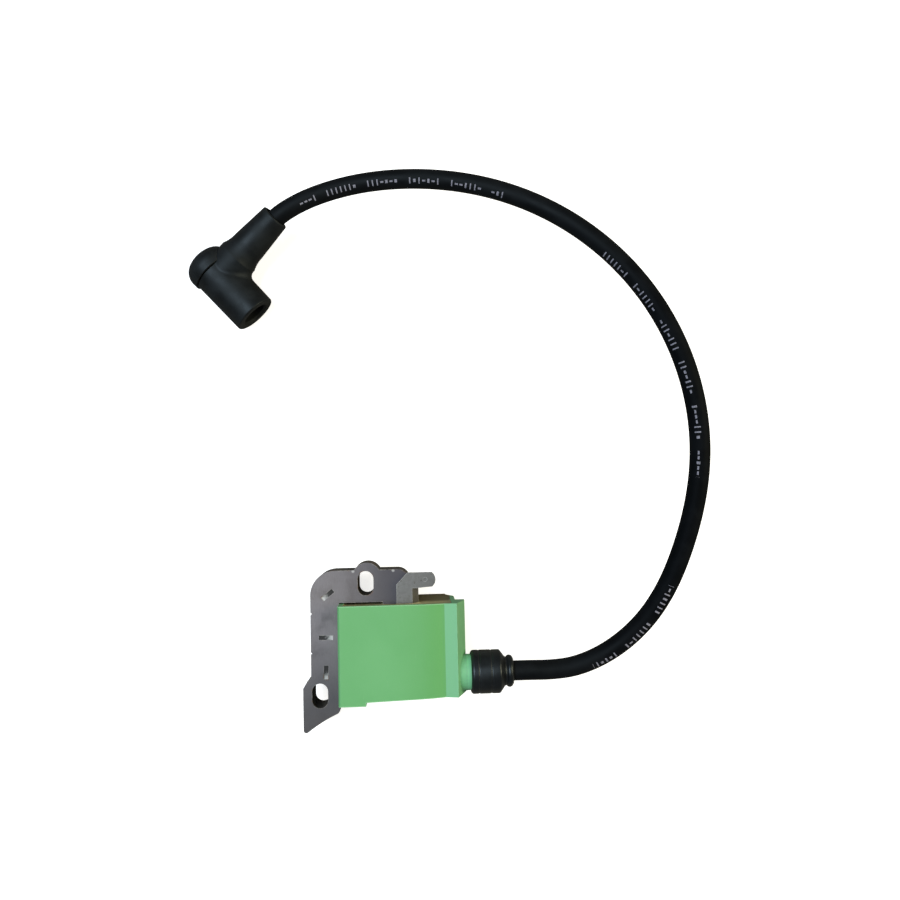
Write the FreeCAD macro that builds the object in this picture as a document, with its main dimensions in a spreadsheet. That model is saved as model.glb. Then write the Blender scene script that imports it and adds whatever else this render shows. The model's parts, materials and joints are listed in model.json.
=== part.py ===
import FreeCAD, Part
import math
import os
import Sketcher

# Ignition coil of a small two-stroke engine, lying on its back.
#
# Frame: millimetres, X along the yoke of the core, Y from the pole faces towards the yoke,
# Z up, through the thickness of the core. The origin is the centre of the upper mounting slot
# on the back (seating) face of the core. The core fills Z 0 to 12.5.
# The high-tension lead leaves the coil along +X, loops round through +Y and ends in the
# right-angle spark plug boot, which rests on the same plane as the back of the housing.

DIMENSIONS = {
    # laminated core: a yoke, a long bolted leg and a short leg that carries the windings
    "lamination_thickness": 0.5,
    "lamination_count": 25,
    "core_left": -19.7,
    "foot_left": -22.6,
    "foot_top": -36.4,
    "foot_slant_top": -32.5,
    "core_top": 4.7,
    "shoulder_radius": 8.6,
    "ear_x": 0.4,
    "ear_y": 2.15,
    "ear_radius": 5.15,
    "leg_left": 6.0,
    "leg_right": 15.8,
    "yoke_corner_radius": 4.4,
    "yoke_bottom": -6.7,
    "long_leg_right": -9.6,
    "pole_x": 10.6,
    "pole_y": -93.0,
    "pole_radius": 52.0,
    "heel_radius": 1.8,
    "toe_radius": 1.0,
    "slot_width": 5.6,
    "slot_length": 8.6,
    "lower_slot_x": -16.65,
    "lower_slot_y": -39.1,
    "nick_radius": 0.45,
    "lance_length": 4.9,
    "lance_width": 1.5,
    "lance_depth": 0.35,
    "lance_play": 0.04,
    # housing: an open-topped box with a wedge and a round tower on its right side
    "housing_left": -9.5,
    "housing_right": 32.0,
    "housing_top": -7.05,
    "housing_bottom": -40.1,
    "housing_back": -8.5,
    "housing_front": 21.0,
    "housing_wall": 1.6,
    "front_wall": 1.9,
    "curve_start_x": 19.0,
    "curve_radius": 35.0,
    "crease_x": 27.7,
    "crease_z": 19.9,
    "strip_z": 20.6,
    "wedge_right": 35.3,
    "wedge_knee_z": 10.0,
    "wedge_back_z": 8.0,
    "edge_radius": 1.0,
    "back_corner_radius": 6.0,
    "foot_depth": 1.3,
    "bottom_rise": 0.8,
    "tower_y": -32.4,
    "tower_z": 12.0,
    "tower_radius": 6.3,
    "tower_root_x": 31.0,
    "tower_end_x": 44.0,
    "leg_play": 0.1,
    # potting
    "potting_level": -7.75,
    # primary and secondary bobbins and windings, as gaps measured outwards from the leg
    "bobbin_wall": 0.8,
    "primary_flange_gap": 3.0,
    "primary_top": -11.6,
    "primary_bottom": -37.6,
    "primary_wire_gap": 2.8,
    "secondary_inner_gap": 3.1,
    "secondary_flange_gap": 6.3,
    "secondary_top": -12.2,
    "secondary_bottom": -37.0,
    "secondary_wire_gap": 5.9,
    "chamber_count": 6,
    # electronics
    "board_x": -7.2,
    "board_thickness": 1.0,
    "board_top": -12.0,
    "board_bottom": -36.0,
    "board_back": -5.0,
    "board_front": 17.0,
    "solder_length": 0.5,
    # kill switch terminal
    "blade_z": 13.2,
    "blade_thickness": 0.8,
    "stem_left": 11.0,
    "stem_right": 16.4,
    "blade_top": 3.55,
    "blade_width": 5.2,
    "blade_round": 3.2,
    "stem_knee_y": -2.0,
    "fold_inset": 0.3,
    "fold_reach": 1.7,
    "fold_drop": 2.7,
    "dimple_inset": 3.7,
    "dimple_radius": 0.75,
    "blade_tip_x": 24.95,
    "blade_foot_y": -11.2,
    # high-tension contact
    "pin_head_x": 26.2,
    "pin_head_radius": 1.8,
    "pin_radius": 0.8,
    "pin_tip_x": 33.0,
    "pin_tip_length": 1.5,
    "secondary_lead_radius": 0.3,
    # high-tension lead
    "lead_radius": 3.5,
    "insulation_radius": 2.7,
    "core_bore_radius": 0.7,
    "strand_radius": 0.21,
    "strand_pitch": 0.46,
    "lead_sections": 40,
    "spike_reach": 3.9,
    "lead_start_x": 30.6,
    "bend_start_x": 66.0,
    "loop_x": 13.5,
    "loop_y": 43.7,
    "loop_radius": 102.8,
    "loop_first_angle": -36.0,
    "loop_last_angle": 104.0,
    "loop_steps": 9,
    "loop_peak_angle": 14.0,
    "loop_rise_angle": 90.0,
    "loop_fall_angle": 108.0,
    "loop_peak_z": 33.0,
    "loop_low_z": 8.5,
    # tower boot
    "boot_front_x": 36.8,
    "boot_radius": 7.65,
    "boot_step_x": 44.6,
    "boot_neck_radius": 5.0,
    "boot_end_x": 52.0,
    "boot_play": 0.03,
    # spark plug boot, in its own frame: tube along its X, sleeve along its Y
    "plug_x": -53.15,
    "plug_y": 114.4,
    "plug_z": 0.5,
    "plug_heading": -47.7,
    "plug_roll": 15.0,
    "tube_radius": 8.3,
    "tube_mouth_radius": 8.1,
    "tube_mouth_x": 19.5,
    "tube_back_x": -2.2,
    "socket_radius": 4.75,
    "socket_end_x": 9.0,
    "access_radius": 4.3,
    "spigot_radius": 6.6,
    "spigot_end_x": -6.4,
    "sleeve_root_radius": 7.5,
    "crotch_radius": 2.5,
    "sleeve_mouth_radius": 5.25,
    "sleeve_length": 31.0,
    "sleeve_straight_y": 26.0,
    "sleeve_flare_radius": 4.2,
    "lead_end_y": 5.6,
    "cap_radius": 9.0,
    "cap_front_x": -2.6,
    "cap_end_x": -11.2,
    "cap_play": 0.05,
    # contact spring
    "spring_wire_radius": 0.45,
    "spring_radius": 3.3,
    "spring_start_x": 1.5,
    "spring_end_x": 7.5,
    "spring_turns": 4,
    "spring_bead_radius": 0.54,
    "spike_length": 4.8,
    # components on the board
    "solder_wire_radius": 0.25,
    "solder_play": 0.1,
    "component_gap": 0.2,
    "leg_pitch": 2.54,
    "axial_z": 12,
    "axial_wire_reach": 1.4,
    "resistor_top_y": -21.5,
    "resistor_pitch": 3.5,
    "resistor_radius": 0.9,
    "resistor_length": 4.2,
    "diode_y": -32.6,
    "diode_radius": 1.3,
    "diode_length": 5.0,
    "power_gap": 0.1,
    "power_top_y": -19,
    "power_z": 1.0,
    "power_length": 15,
    "power_width": 10,
    "power_thickness": 4.4,
    "power_blade_x": 2.0,
    "power_blade_width": 0.7,
    "power_blade_thickness": 0.5,
    "power_blade_length": 2.1,
    "control_gap": 1.0,
    "control_y": -15.2,
    "control_z": 13,
    "control_radius": 2.3,
    "control_length": 4.4,
    "control_flat": 1.2,
    "capacitor_y": -14.8,
    "capacitor_z": 0.25,
    "capacitor_width": 2.8,
    "capacitor_height": 3.2,
    "capacitor_length": 7.5,
    "hookup_radius": 0.4,
    "hookup_rise": 1.9,
    "hookup_gap": 0.35,
    "strap_thickness": 0.3,
    "strap_overlap": 1.2,
    "strap_back": 4.5,
    "strap_front": 7.5,
}

doc = FreeCAD.newDocument("ignition_coil")
sheet = doc.addObject("Spreadsheet::Sheet", "dims")
for row, (alias, amount) in enumerate(DIMENSIONS.items(), start=1):
    sheet.set("A%d" % row, alias)
    sheet.set("B%d" % row, str(amount))
    sheet.setAlias("B%d" % row, alias)
doc.recompute()

sub_parts = []


def size(alias):
    """Value of one cell of the sheet."""
    return float(sheet.get(alias))


def in_dims(expression):
    """Write the sheet's name before every alias of an expression."""
    words = []
    word = ""
    for letter in str(expression) + " ":
        if letter.isalnum() or letter == "_":
            word += letter
            continue
        words.append("dims." + word if word in DIMENSIONS else word)
        words.append(letter)
        word = ""
    return "".join(words).strip()


def value(expression):
    """Number that an expression of aliases stands for."""
    return float(sheet.evalExpression(in_dims(expression)))


def bind(target, prop, expression):
    target.setExpression(prop, in_dims(expression))


def keep(part):
    """Register a finished sub-part: its label names its file."""
    sub_parts.append(part)
    return part


# ---------------------------------------------------------------- Part workbench helpers

def place(part, x, y, z):
    bind(part, "Placement.Base.x", x)
    bind(part, "Placement.Base.y", y)
    bind(part, "Placement.Base.z", z)


def box(name, x, y, z, length, width, height):
    part = doc.addObject("Part::Box", name)
    place(part, x, y, z)
    bind(part, "Length", length)
    bind(part, "Width", width)
    bind(part, "Height", height)
    return part


def span_box(name, x_low, x_high, y_low, y_high, z_low, z_high):
    """Box given by the two ends of each side."""
    length = "(%s) - (%s)" % (x_high, x_low)
    width = "(%s) - (%s)" % (y_high, y_low)
    height = "(%s) - (%s)" % (z_high, z_low)
    return box(name, x_low, y_low, z_low, length, width, height)


AXIS_TURN = {
    "x": FreeCAD.Rotation(FreeCAD.Vector(0, 1, 0), 90),
    "y": FreeCAD.Rotation(FreeCAD.Vector(1, 0, 0), -90),
    "z": FreeCAD.Rotation(),
}


def cylinder(name, x, y, z, axis, radius, length):
    part = doc.addObject("Part::Cylinder", name)
    part.Placement = FreeCAD.Placement(FreeCAD.Vector(), AXIS_TURN[axis])
    place(part, x, y, z)
    bind(part, "Radius", radius)
    bind(part, "Height", length)
    return part


def cone(name, x, y, z, axis, radius, tip_radius, length):
    part = doc.addObject("Part::Cone", name)
    part.Placement = FreeCAD.Placement(FreeCAD.Vector(), AXIS_TURN[axis])
    place(part, x, y, z)
    bind(part, "Radius1", radius)
    bind(part, "Radius2", tip_radius)
    bind(part, "Height", length)
    return part


def cut(name, base, tool):
    part = doc.addObject("Part::Cut", name)
    part.Base = base
    part.Tool = tool
    return part


def fuse(name, pieces):
    part = doc.addObject("Part::MultiFuse", name)
    part.Shapes = pieces
    return part


def compound(name, pieces):
    part = doc.addObject("Part::Compound", name)
    part.Links = pieces
    return part


def leg_ring(name, inner_gap, outer_gap, y_low, y_high):
    """Rectangular ring round the short leg, from one gap to another outside it."""
    solids = []
    for word, gap in (("outer", outer_gap), ("inner", inner_gap)):
        solids.append(span_box(
            name + "_" + word,
            "leg_left - %s" % gap, "leg_right + %s" % gap,
            y_low, y_high,
            "-(%s)" % gap, "lamination_thickness * lamination_count + %s" % gap))
    return cut(name, solids[0], solids[1])


# ---------------------------------------------------------------- PartDesign helpers

def make_body(name):
    return doc.addObject("PartDesign::Body", name)


def make_sketch(body, plane, name, offset="0"):
    """Sketch on one of the body's own origin planes, moved along that plane's normal."""
    sketch = body.newObject("Sketcher::SketchObject", name)
    support = [f for f in body.Origin.OriginFeatures if f.Role == plane][0]
    sketch.AttachmentSupport = [(support, "")]
    sketch.MapMode = "FlatFace"
    bind(sketch, "AttachmentOffset.Base.z", offset)
    return sketch


def pin_point(sketch, geometry, end, x, y):
    """Hold one end of a sketch element at expressions of x and y."""
    for kind, expression in (("DistanceX", x), ("DistanceY", y)):
        index = sketch.addConstraint(
            Sketcher.Constraint(kind, -1, 1, geometry, end, value(expression)))
        bind(sketch, "Constraints[%d]" % index, expression)


def arc_top(start, end, radius, centre_side):
    """Middle of the short arc whose centre lies to the left or right of the travel."""
    chord = end - start
    middle = (start + end) * 0.5
    normal = FreeCAD.Vector(-chord.y, chord.x, 0).normalize()
    if centre_side == "right":
        normal = -normal
    height = math.sqrt(max(radius ** 2 - (chord.Length / 2) ** 2, 0))
    return middle + normal * (height - radius)


def draw_loop(sketch, corners):
    """Closed outline through corners (x, y) written as expressions.

    A corner may add a radius and "left" or "right": the side that leaves it is then an arc
    of that radius whose centre lies on that side of the travel.
    """
    points = [FreeCAD.Vector(value(c[0]), value(c[1]), 0) for c in corners]
    sides = []
    for index, corner in enumerate(corners):
        start = points[index]
        end = points[(index + 1) % len(points)]
        if len(corner) == 2:
            side = sketch.addGeometry(Part.LineSegment(start, end), False)
            sides.append((side, 1, 2))
            continue
        radius = value(corner[2])
        top = arc_top(start, end, radius, corner[3])
        side = sketch.addGeometry(Part.Arc(start, top, end), False)
        forward = sketch.getPoint(side, 1).distanceToPoint(start) < 1e-6
        sides.append((side, 1, 2) if forward else (side, 2, 1))
        limit = sketch.addConstraint(Sketcher.Constraint("Radius", side, radius))
        bind(sketch, "Constraints[%d]" % limit, corner[2])
    for index, corner in enumerate(corners):
        side, start_end, last_end = sides[index]
        before = sides[index - 1]
        sketch.addConstraint(Sketcher.Constraint("Coincident", before[0], before[2], side, start_end))
        pin_point(sketch, side, start_end, corner[0], corner[1])


def draw_circle(sketch, x, y, radius):
    centre = FreeCAD.Vector(value(x), value(y), 0)
    circle = Part.Circle(centre, FreeCAD.Vector(0, 0, 1), value(radius))
    index = sketch.addGeometry(circle, False)
    pin_point(sketch, index, 3, x, y)
    limit = sketch.addConstraint(Sketcher.Constraint("Radius", index, value(radius)))
    bind(sketch, "Constraints[%d]" % limit, radius)


def draw_slot(sketch, x, y, width, length):
    """Upright slot with round ends, each a half circle."""
    radius = value(width) / 2
    rise = value(length) / 2 - radius
    centre_x = value(x)
    centre_y = value(y)
    up = FreeCAD.Vector(0, 0, 1)
    top = FreeCAD.Vector(centre_x, centre_y + rise, 0)
    low = FreeCAD.Vector(centre_x, centre_y - rise, 0)
    side = FreeCAD.Vector(radius, 0, 0)
    cap = sketch.addGeometry(Part.ArcOfCircle(Part.Circle(top, up, radius), 0, math.pi), False)
    left = sketch.addGeometry(Part.LineSegment(top - side, low - side), False)
    cup = sketch.addGeometry(
        Part.ArcOfCircle(Part.Circle(low, up, radius), math.pi, 2 * math.pi), False)
    right = sketch.addGeometry(Part.LineSegment(low + side, top + side), False)
    joints = ((cap, 2, left, 1), (left, 2, cup, 1), (cup, 2, right, 1), (right, 2, cap, 1))
    for joint in joints:
        sketch.addConstraint(Sketcher.Constraint("Tangent", *joint))
    half_rise = "(%s) / 2 - (%s) / 2" % (length, width)
    pin_point(sketch, cap, 3, x, "(%s) + %s" % (y, half_rise))
    pin_point(sketch, cup, 3, x, "(%s) - (%s)" % (y, half_rise))
    for arc in (cap, cup):
        limit = sketch.addConstraint(Sketcher.Constraint("Radius", arc, radius))
        bind(sketch, "Constraints[%d]" % limit, "(%s) / 2" % width)


def pad(body, sketch, length, backwards=False):
    feature = body.newObject("PartDesign::Pad", sketch.Name + "_pad")
    feature.Profile = sketch
    feature.Reversed = backwards
    bind(feature, "Length", length)
    body.Tip = feature
    return feature


def pocket(body, sketch, depth, backwards=False):
    """Cut a sketch into the body and make sure that it removed material."""
    doc.recompute()
    before = body.Shape.Volume
    feature = body.newObject("PartDesign::Pocket", sketch.Name + "_pocket")
    feature.Profile = sketch
    feature.Reversed = backwards
    bind(feature, "Length", depth)
    body.Tip = feature
    doc.recompute()
    if body.Shape.Volume > before - 1e-6:
        raise RuntimeError(feature.Name + " cuts nothing")
    return feature


def turn(body, kind, sketch, axis):
    """Revolve (kind Revolution) or cut away (kind Groove) a sketch round its own axis."""
    doc.recompute()
    before = body.Shape.Volume if body.Tip else 0
    feature = body.newObject("PartDesign::" + kind, sketch.Name + "_turn")
    feature.Profile = sketch
    feature.ReferenceAxis = (sketch, [axis])
    feature.Angle = 360
    body.Tip = feature
    doc.recompute()
    change = body.Shape.Volume - before
    if (kind == "Groove") == (change > -1e-6):
        raise RuntimeError(feature.Name + " changes the volume the wrong way")
    return feature


# ---------------------------------------------------------------- laminated core

def pole_height(x):
    """Expression for the height of the flywheel circle above or below a given x."""
    return "pole_y + sqrt(pole_radius ^ 2 - ((%s) - pole_x) ^ 2)" % x


def fillet_on_pole(wall_x, radius, outward):
    """Where a round between an upright wall and the pole arc leaves each of them.

    outward is +1 where metal lies to the right of the wall and -1 where it lies to the left.
    """
    centre_x = "(%s) + (%s) * (%s)" % (wall_x, outward, radius)
    centre_y = "(pole_y + sqrt((pole_radius + %s) ^ 2 - (%s - pole_x) ^ 2))" % (radius, centre_x)
    share = "pole_radius / (pole_radius + %s)" % radius
    foot_x = "pole_x + (%s - pole_x) * %s" % (centre_x, share)
    foot_y = "pole_y + (%s - pole_y) * %s" % (centre_y, share)
    return centre_y, foot_x, foot_y


def core_outline():
    heel_y, heel_foot_x, heel_foot_y = fillet_on_pole("long_leg_right", "heel_radius", "-1")
    toe_y, toe_foot_x, toe_foot_y = fillet_on_pole("foot_left", "toe_radius", "1")
    ear_half = "sqrt(ear_radius ^ 2 - (core_top - ear_y) ^ 2)"
    return [
        ("foot_left", toe_y),
        ("foot_left", "foot_top"),
        ("core_left", "foot_slant_top"),
        ("core_left", "core_top - shoulder_radius", "shoulder_radius", "right"),
        ("core_left + shoulder_radius", "core_top"),
        ("ear_x - %s" % ear_half, "core_top", "ear_radius", "right"),
        ("ear_x + %s" % ear_half, "core_top"),
        ("leg_right - yoke_corner_radius", "core_top", "yoke_corner_radius", "right"),
        ("leg_right", "core_top - yoke_corner_radius"),
        ("leg_right", pole_height("leg_right"), "pole_radius", "left"),
        ("leg_left", pole_height("leg_left")),
        ("leg_left", "yoke_bottom"),
        ("long_leg_right", "yoke_bottom"),
        ("long_leg_right", heel_y, "heel_radius", "right"),
        (heel_foot_x, heel_foot_y, "pole_radius", "left"),
        (toe_foot_x, toe_foot_y, "toe_radius", "right"),
    ]


# middle (x, y) and direction in degrees of the lanced tabs that lock the laminations
LANCES = (
    ("core_left + 6.2", "core_top - 8.5", 39),
    ("core_left + 5.4", "-18.8", -2),
    ("core_left + 5.3", "-31.0", 88),
)

# small half-round assembly nicks on the rim of every lamination
NICKS = (
    ("core_left", "-24.3"),
    ("core_left", "-10.4"),
)


def draw_lances(sketch, play):
    """Turned rectangles, shrunk all round by play."""
    for x, y, degrees in LANCES:
        along = "((lance_length) / 2 - %s)" % play
        across = "((lance_width) / 2 - %s)" % play
        cosine = repr(math.cos(math.radians(degrees)))
        sine = repr(math.sin(math.radians(degrees)))
        corners = []
        for u, v in ((-1, -1), (1, -1), (1, 1), (-1, 1)):
            corner_x = "%s + %d * %s * %s - %d * %s * (%s)" % (x, u, along, cosine, v, across, sine)
            corner_y = "%s + %d * %s * (%s) + %d * %s * %s" % (y, u, along, sine, v, across, cosine)
            corners.append((corner_x, corner_y))
        draw_loop(sketch, corners)


def make_lamination(name, last):
    """One stamping. The last one has plain openings where the others are lanced."""
    body = make_body(name)
    outline = make_sketch(body, "XY_Plane", name + "_outline")
    draw_loop(outline, core_outline())
    pad(body, outline, "lamination_thickness")
    holes = make_sketch(body, "XY_Plane", name + "_slots")
    draw_slot(holes, "0", "0", "slot_width", "slot_length")
    draw_slot(holes, "lower_slot_x", "lower_slot_y", "slot_width", "slot_length")
    pocket(body, holes, "lamination_thickness", backwards=True)
    nicks = make_sketch(body, "XY_Plane", name + "_nicks")
    for x, y in NICKS:
        draw_circle(nicks, x, y, "nick_radius")
    pocket(body, nicks, "lamination_thickness", backwards=True)
    if last:
        openings = make_sketch(body, "XY_Plane", name + "_lances")
        draw_lances(openings, "0")
        pocket(body, openings, "lamination_thickness", backwards=True)
        return body
    dents = make_sketch(body, "XY_Plane", name + "_lances", "lamination_thickness")
    draw_lances(dents, "0")
    pocket(body, dents, "lance_depth")
    tabs = make_sketch(body, "XY_Plane", name + "_tabs")
    draw_lances(tabs, "lance_play")
    pad(body, tabs, "lance_depth - lance_play", backwards=True)
    return body


def make_core():
    front = keep(make_lamination("core_front_lamination", last=False))
    bind(front, "Placement.Base.z", "lamination_thickness * (lamination_count - 1)")
    keep(make_lamination("core_back_lamination", last=True))
    doc.recompute()
    stamping = front.Shape.copy()
    stamping.Placement = FreeCAD.Placement()
    layers = []
    for layer in range(1, int(size("lamination_count")) - 1):
        plate = stamping.copy()
        plate.translate(FreeCAD.Vector(0, 0, layer * size("lamination_thickness")))
        layers.append(plate)
    inner = doc.addObject("Part::Feature", "core_inner_laminations")
    inner.Shape = Part.makeCompound(layers)
    keep(inner)


# ---------------------------------------------------------------- housing

def housing_outline():
    """Outside of the housing seen from above, as (x, z)."""
    return [
        ("housing_left + edge_radius", "housing_front"),
        ("curve_start_x", "housing_front", "curve_radius", "right"),
        ("crease_x", "crease_z"),
        ("housing_right", "strip_z"),
        ("wedge_right", "wedge_knee_z"),
        ("wedge_right", "wedge_back_z"),
        ("housing_right", "wedge_back_z"),
        ("housing_right", "housing_back + back_corner_radius", "back_corner_radius", "right"),
        ("housing_right - back_corner_radius", "housing_back"),
        ("housing_left + edge_radius", "housing_back", "edge_radius", "right"),
        ("housing_left", "housing_back + edge_radius"),
        ("housing_left", "housing_front - edge_radius", "edge_radius", "right"),
    ]


def cavity_outline():
    """Inside of the housing seen from above, as (x, z)."""
    inner_radius = "(back_corner_radius - housing_wall)"
    return [
        ("housing_left + housing_wall", "housing_front - front_wall"),
        ("housing_right - housing_wall", "housing_front - front_wall"),
        ("housing_right - housing_wall", "housing_back + back_corner_radius", inner_radius, "right"),
        ("housing_right - back_corner_radius", "housing_back + housing_wall"),
        ("housing_left + housing_wall", "housing_back + housing_wall"),
    ]


def foot_outline():
    """Locating foot under the left third of the housing, as (x, z)."""
    return [
        ("housing_left + edge_radius", "housing_front"),
        ("0", "housing_front"),
        ("0", "housing_back"),
        ("housing_left + edge_radius", "housing_back", "edge_radius", "right"),
        ("housing_left", "housing_back + edge_radius"),
        ("housing_left", "housing_front - edge_radius", "edge_radius", "right"),
    ]


def leg_opening(gap):
    """Opening for the short leg, as (x, z)."""
    depth = "lamination_thickness * lamination_count"
    return [
        ("leg_left - %s" % gap, "-(%s)" % gap),
        ("leg_left - %s" % gap, "%s + %s" % (depth, gap)),
        ("leg_right + %s" % gap, "%s + %s" % (depth, gap)),
        ("leg_right + %s" % gap, "-(%s)" % gap),
    ]


def make_housing():
    body = make_body("housing")
    walls = make_sketch(body, "XZ_Plane", "housing_walls", "-housing_top")
    draw_loop(walls, housing_outline())
    pad(body, walls, "housing_top - housing_bottom")
    foot = make_sketch(body, "XZ_Plane", "housing_foot", "-housing_bottom")
    draw_loop(foot, foot_outline())
    pad(body, foot, "foot_depth")
    tower = make_sketch(body, "YZ_Plane", "housing_tower", "tower_root_x")
    draw_circle(tower, "tower_y", "tower_z", "tower_radius")
    pad(body, tower, "tower_end_x - tower_root_x")
    slope = make_sketch(body, "XY_Plane", "housing_slope", "housing_front + 1")
    draw_loop(slope, [
        ("0", "housing_bottom"),
        ("crease_x", "housing_bottom + bottom_rise"),
        ("wedge_right + 1", "housing_bottom + bottom_rise - 0.2"),
        ("wedge_right + 1", "housing_bottom - 1"),
        ("0", "housing_bottom - 1"),
    ])
    pocket(body, slope, "housing_front - housing_back + 2")
    cavity = make_sketch(body, "XZ_Plane", "housing_cavity", "-housing_top")
    draw_loop(cavity, cavity_outline())
    pocket(body, cavity, "housing_top - housing_bottom - housing_wall", backwards=True)
    opening = make_sketch(body, "XZ_Plane", "housing_leg_opening", "-housing_top")
    draw_loop(opening, leg_opening("leg_play"))
    pocket(body, opening, "housing_top - housing_bottom + 1", backwards=True)
    bore = make_sketch(body, "YZ_Plane", "housing_tower_bore", "tower_end_x")
    draw_circle(bore, "tower_y", "tower_z", "lead_radius + 0.05")
    pocket(body, bore, "tower_end_x - housing_right + housing_wall + 0.5")
    return keep(body)


# ---------------------------------------------------------------- windings

def make_primary():
    tube = leg_ring("primary_tube", "leg_play", "(leg_play + bobbin_wall)",
                    "primary_bottom", "primary_top")
    flanges = []
    for word, low in (("lower", "primary_bottom"), ("upper", "primary_top - bobbin_wall")):
        flanges.append(leg_ring("primary_flange_" + word, "leg_play", "primary_flange_gap",
                                low, "%s + bobbin_wall" % low))
    keep(fuse("primary_bobbin", [tube] + flanges))
    keep(leg_ring("primary_winding", "(leg_play + bobbin_wall)", "primary_wire_gap",
                  "primary_bottom + bobbin_wall", "primary_top - bobbin_wall"))


def make_secondary():
    wall = "(secondary_inner_gap + bobbin_wall)"
    pitch = "((secondary_top - secondary_bottom - bobbin_wall) / chamber_count)"
    pieces = [leg_ring("secondary_tube", "secondary_inner_gap", wall,
                       "secondary_bottom", "secondary_top")]
    coils = []
    chambers = int(size("chamber_count"))
    for index in range(chambers + 1):
        low = "(secondary_bottom + %d * %s)" % (index, pitch)
        top = "(%s + bobbin_wall)" % low
        pieces.append(leg_ring("secondary_flange_%d" % index, "secondary_inner_gap",
                               "secondary_flange_gap", low, top))
        if index < chambers:
            coils.append(leg_ring("secondary_coil_%d" % index, wall, "secondary_wire_gap",
                                  top, "(%s + %s)" % (low, pitch)))
    keep(fuse("secondary_bobbin", pieces))
    keep(compound("secondary_winding", coils))


# ---------------------------------------------------------------- circuit board and its parts

# side of the board that carries the components
BOARD_FACE = "(board_x + board_thickness)"


def board_lead(name, x, y, z):
    """Round wire from a component at x straight back through the board."""
    start = "(board_x - solder_length)"
    return cylinder(name, start, y, z, "x", "solder_wire_radius", "(%s) - %s" % (x, start))


def axial_component(name, y, z, radius, length):
    """Round component lying along Z over the board, with both leads bent into it."""
    x = "%s + %s + component_gap" % (BOARD_FACE, radius)
    half = "(%s) / 2" % length
    pieces = [cylinder(name + "_barrel", x, y, "%s - %s" % (z, half), "z", radius, length)]
    pieces.append(cylinder(name + "_wire", x, y, "%s - %s - axial_wire_reach" % (z, half), "z",
                           "solder_wire_radius", "%s + 2 * axial_wire_reach" % length))
    holes = []
    for word, sign in (("back", "-1"), ("front", "1")):
        end = "%s + %s * (%s + axial_wire_reach)" % (z, sign, half)
        pieces.append(board_lead("%s_%s" % (name, word), x, y, end))
        holes.append((y, end))
    return fuse(name, pieces), holes


def make_resistors():
    """Three resistors in a row; returns where their wires pass through the board."""
    holes = []
    resistors = []
    for index in range(3):
        y = "(resistor_top_y - %d * resistor_pitch)" % index
        resistor, wires = axial_component("resistor_%d" % index, y, "axial_z",
                                          "resistor_radius", "resistor_length")
        resistors.append(resistor)
        holes += wires
    keep(compound("resistors", resistors))
    return holes


def make_diode():
    diode, holes = axial_component("protection_diode", "diode_y", "axial_z",
                                   "diode_radius", "diode_length")
    keep(diode)
    return holes


def make_power_transistor():
    """Flat package with three blades that turn down into the board."""
    low = BOARD_FACE + " + power_gap"
    pieces = [span_box("power_transistor_body", low, low + " + power_thickness",
                       "power_top_y - power_length", "power_top_y",
                       "power_z - power_width / 2", "power_z + power_width / 2")]
    blade_x = BOARD_FACE + " + power_blade_x"
    end_y = "(power_top_y + power_blade_length)"
    wire_y = "(%s - 0.4)" % end_y
    holes = []
    for index in (-1, 0, 1):
        z = "(power_z + %d * leg_pitch)" % index
        word = "power_transistor_leg_%d" % (index + 2)
        pieces.append(span_box(word, blade_x, blade_x + " + power_blade_thickness",
                               "power_top_y", end_y,
                               z + " - power_blade_width / 2", z + " + power_blade_width / 2"))
        pieces.append(board_lead(word + "_wire", blade_x + " + 0.3", wire_y, z))
        holes.append((wire_y, z))
    keep(fuse("power_transistor", pieces))
    return holes


def make_control_transistor():
    """Small round can with one flat side."""
    can = cylinder("control_transistor_can", BOARD_FACE + " + control_gap", "control_y",
                   "control_z", "x", "control_radius", "control_length")
    flat = span_box("control_transistor_flat", BOARD_FACE, BOARD_FACE + " + 6",
                    "control_y + control_flat", "control_y + 3.2",
                    "control_z - 3", "control_z + 3")
    pieces = [cut("control_transistor_body", can, flat)]
    wire_y = "(control_y - 0.2)"
    holes = []
    for index in (-1, 0, 1):
        z = "(control_z + %d * leg_pitch / 2)" % index
        pieces.append(board_lead("control_transistor_wire_%d" % (index + 2),
                                 BOARD_FACE + " + control_gap + 0.2", wire_y, z))
        holes.append((wire_y, z))
    keep(fuse("control_transistor", pieces))
    return holes


def make_capacitor():
    """Upright film capacitor with a wire at each end."""
    low = BOARD_FACE + " + component_gap"
    middle = "(capacitor_z)"
    pieces = [span_box("film_capacitor_body", low, low + " + capacitor_height",
                       "capacitor_y - capacitor_width / 2", "capacitor_y + capacitor_width / 2",
                       middle + " - capacitor_length / 2", middle + " + capacitor_length / 2")]
    holes = []
    for index in (-1, 1):
        z = "(%s + %d * leg_pitch)" % (middle, index)
        pieces.append(board_lead("film_capacitor_wire_%d" % (index + 1),
                                 low + " + 0.1", "capacitor_y", z))
        holes.append(("capacitor_y", z))
    keep(fuse("film_capacitor", pieces))
    return holes


def make_electronics():
    """Components first, then the board with a hole for each of their wires."""
    holes = make_resistors() + make_diode() + make_power_transistor()
    holes += make_control_transistor() + make_capacitor()
    drills = []
    for index, (y, z) in enumerate(holes):
        drills.append(cylinder("board_drill_%d" % index, "board_x - 1", y, z, "x",
                               "solder_wire_radius + solder_play", "board_thickness + 2"))
    blank = span_box("board_blank", "board_x", BOARD_FACE, "board_bottom", "board_top",
                     "board_back", "board_front")
    keep(cut("circuit_board", blank, fuse("board_drills", drills)))


def round_bar(stations, radius):
    """Round bar through stations (point, heading, across) that frame its cross-sections."""
    rings = []
    for point, heading, across in stations:
        ring = Part.Circle(point, heading, radius)
        ring.XAxis = across
        rings.append(Part.Wire([ring.toShape()]))
    return Part.makeLoft(rings, True, True)


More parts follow.
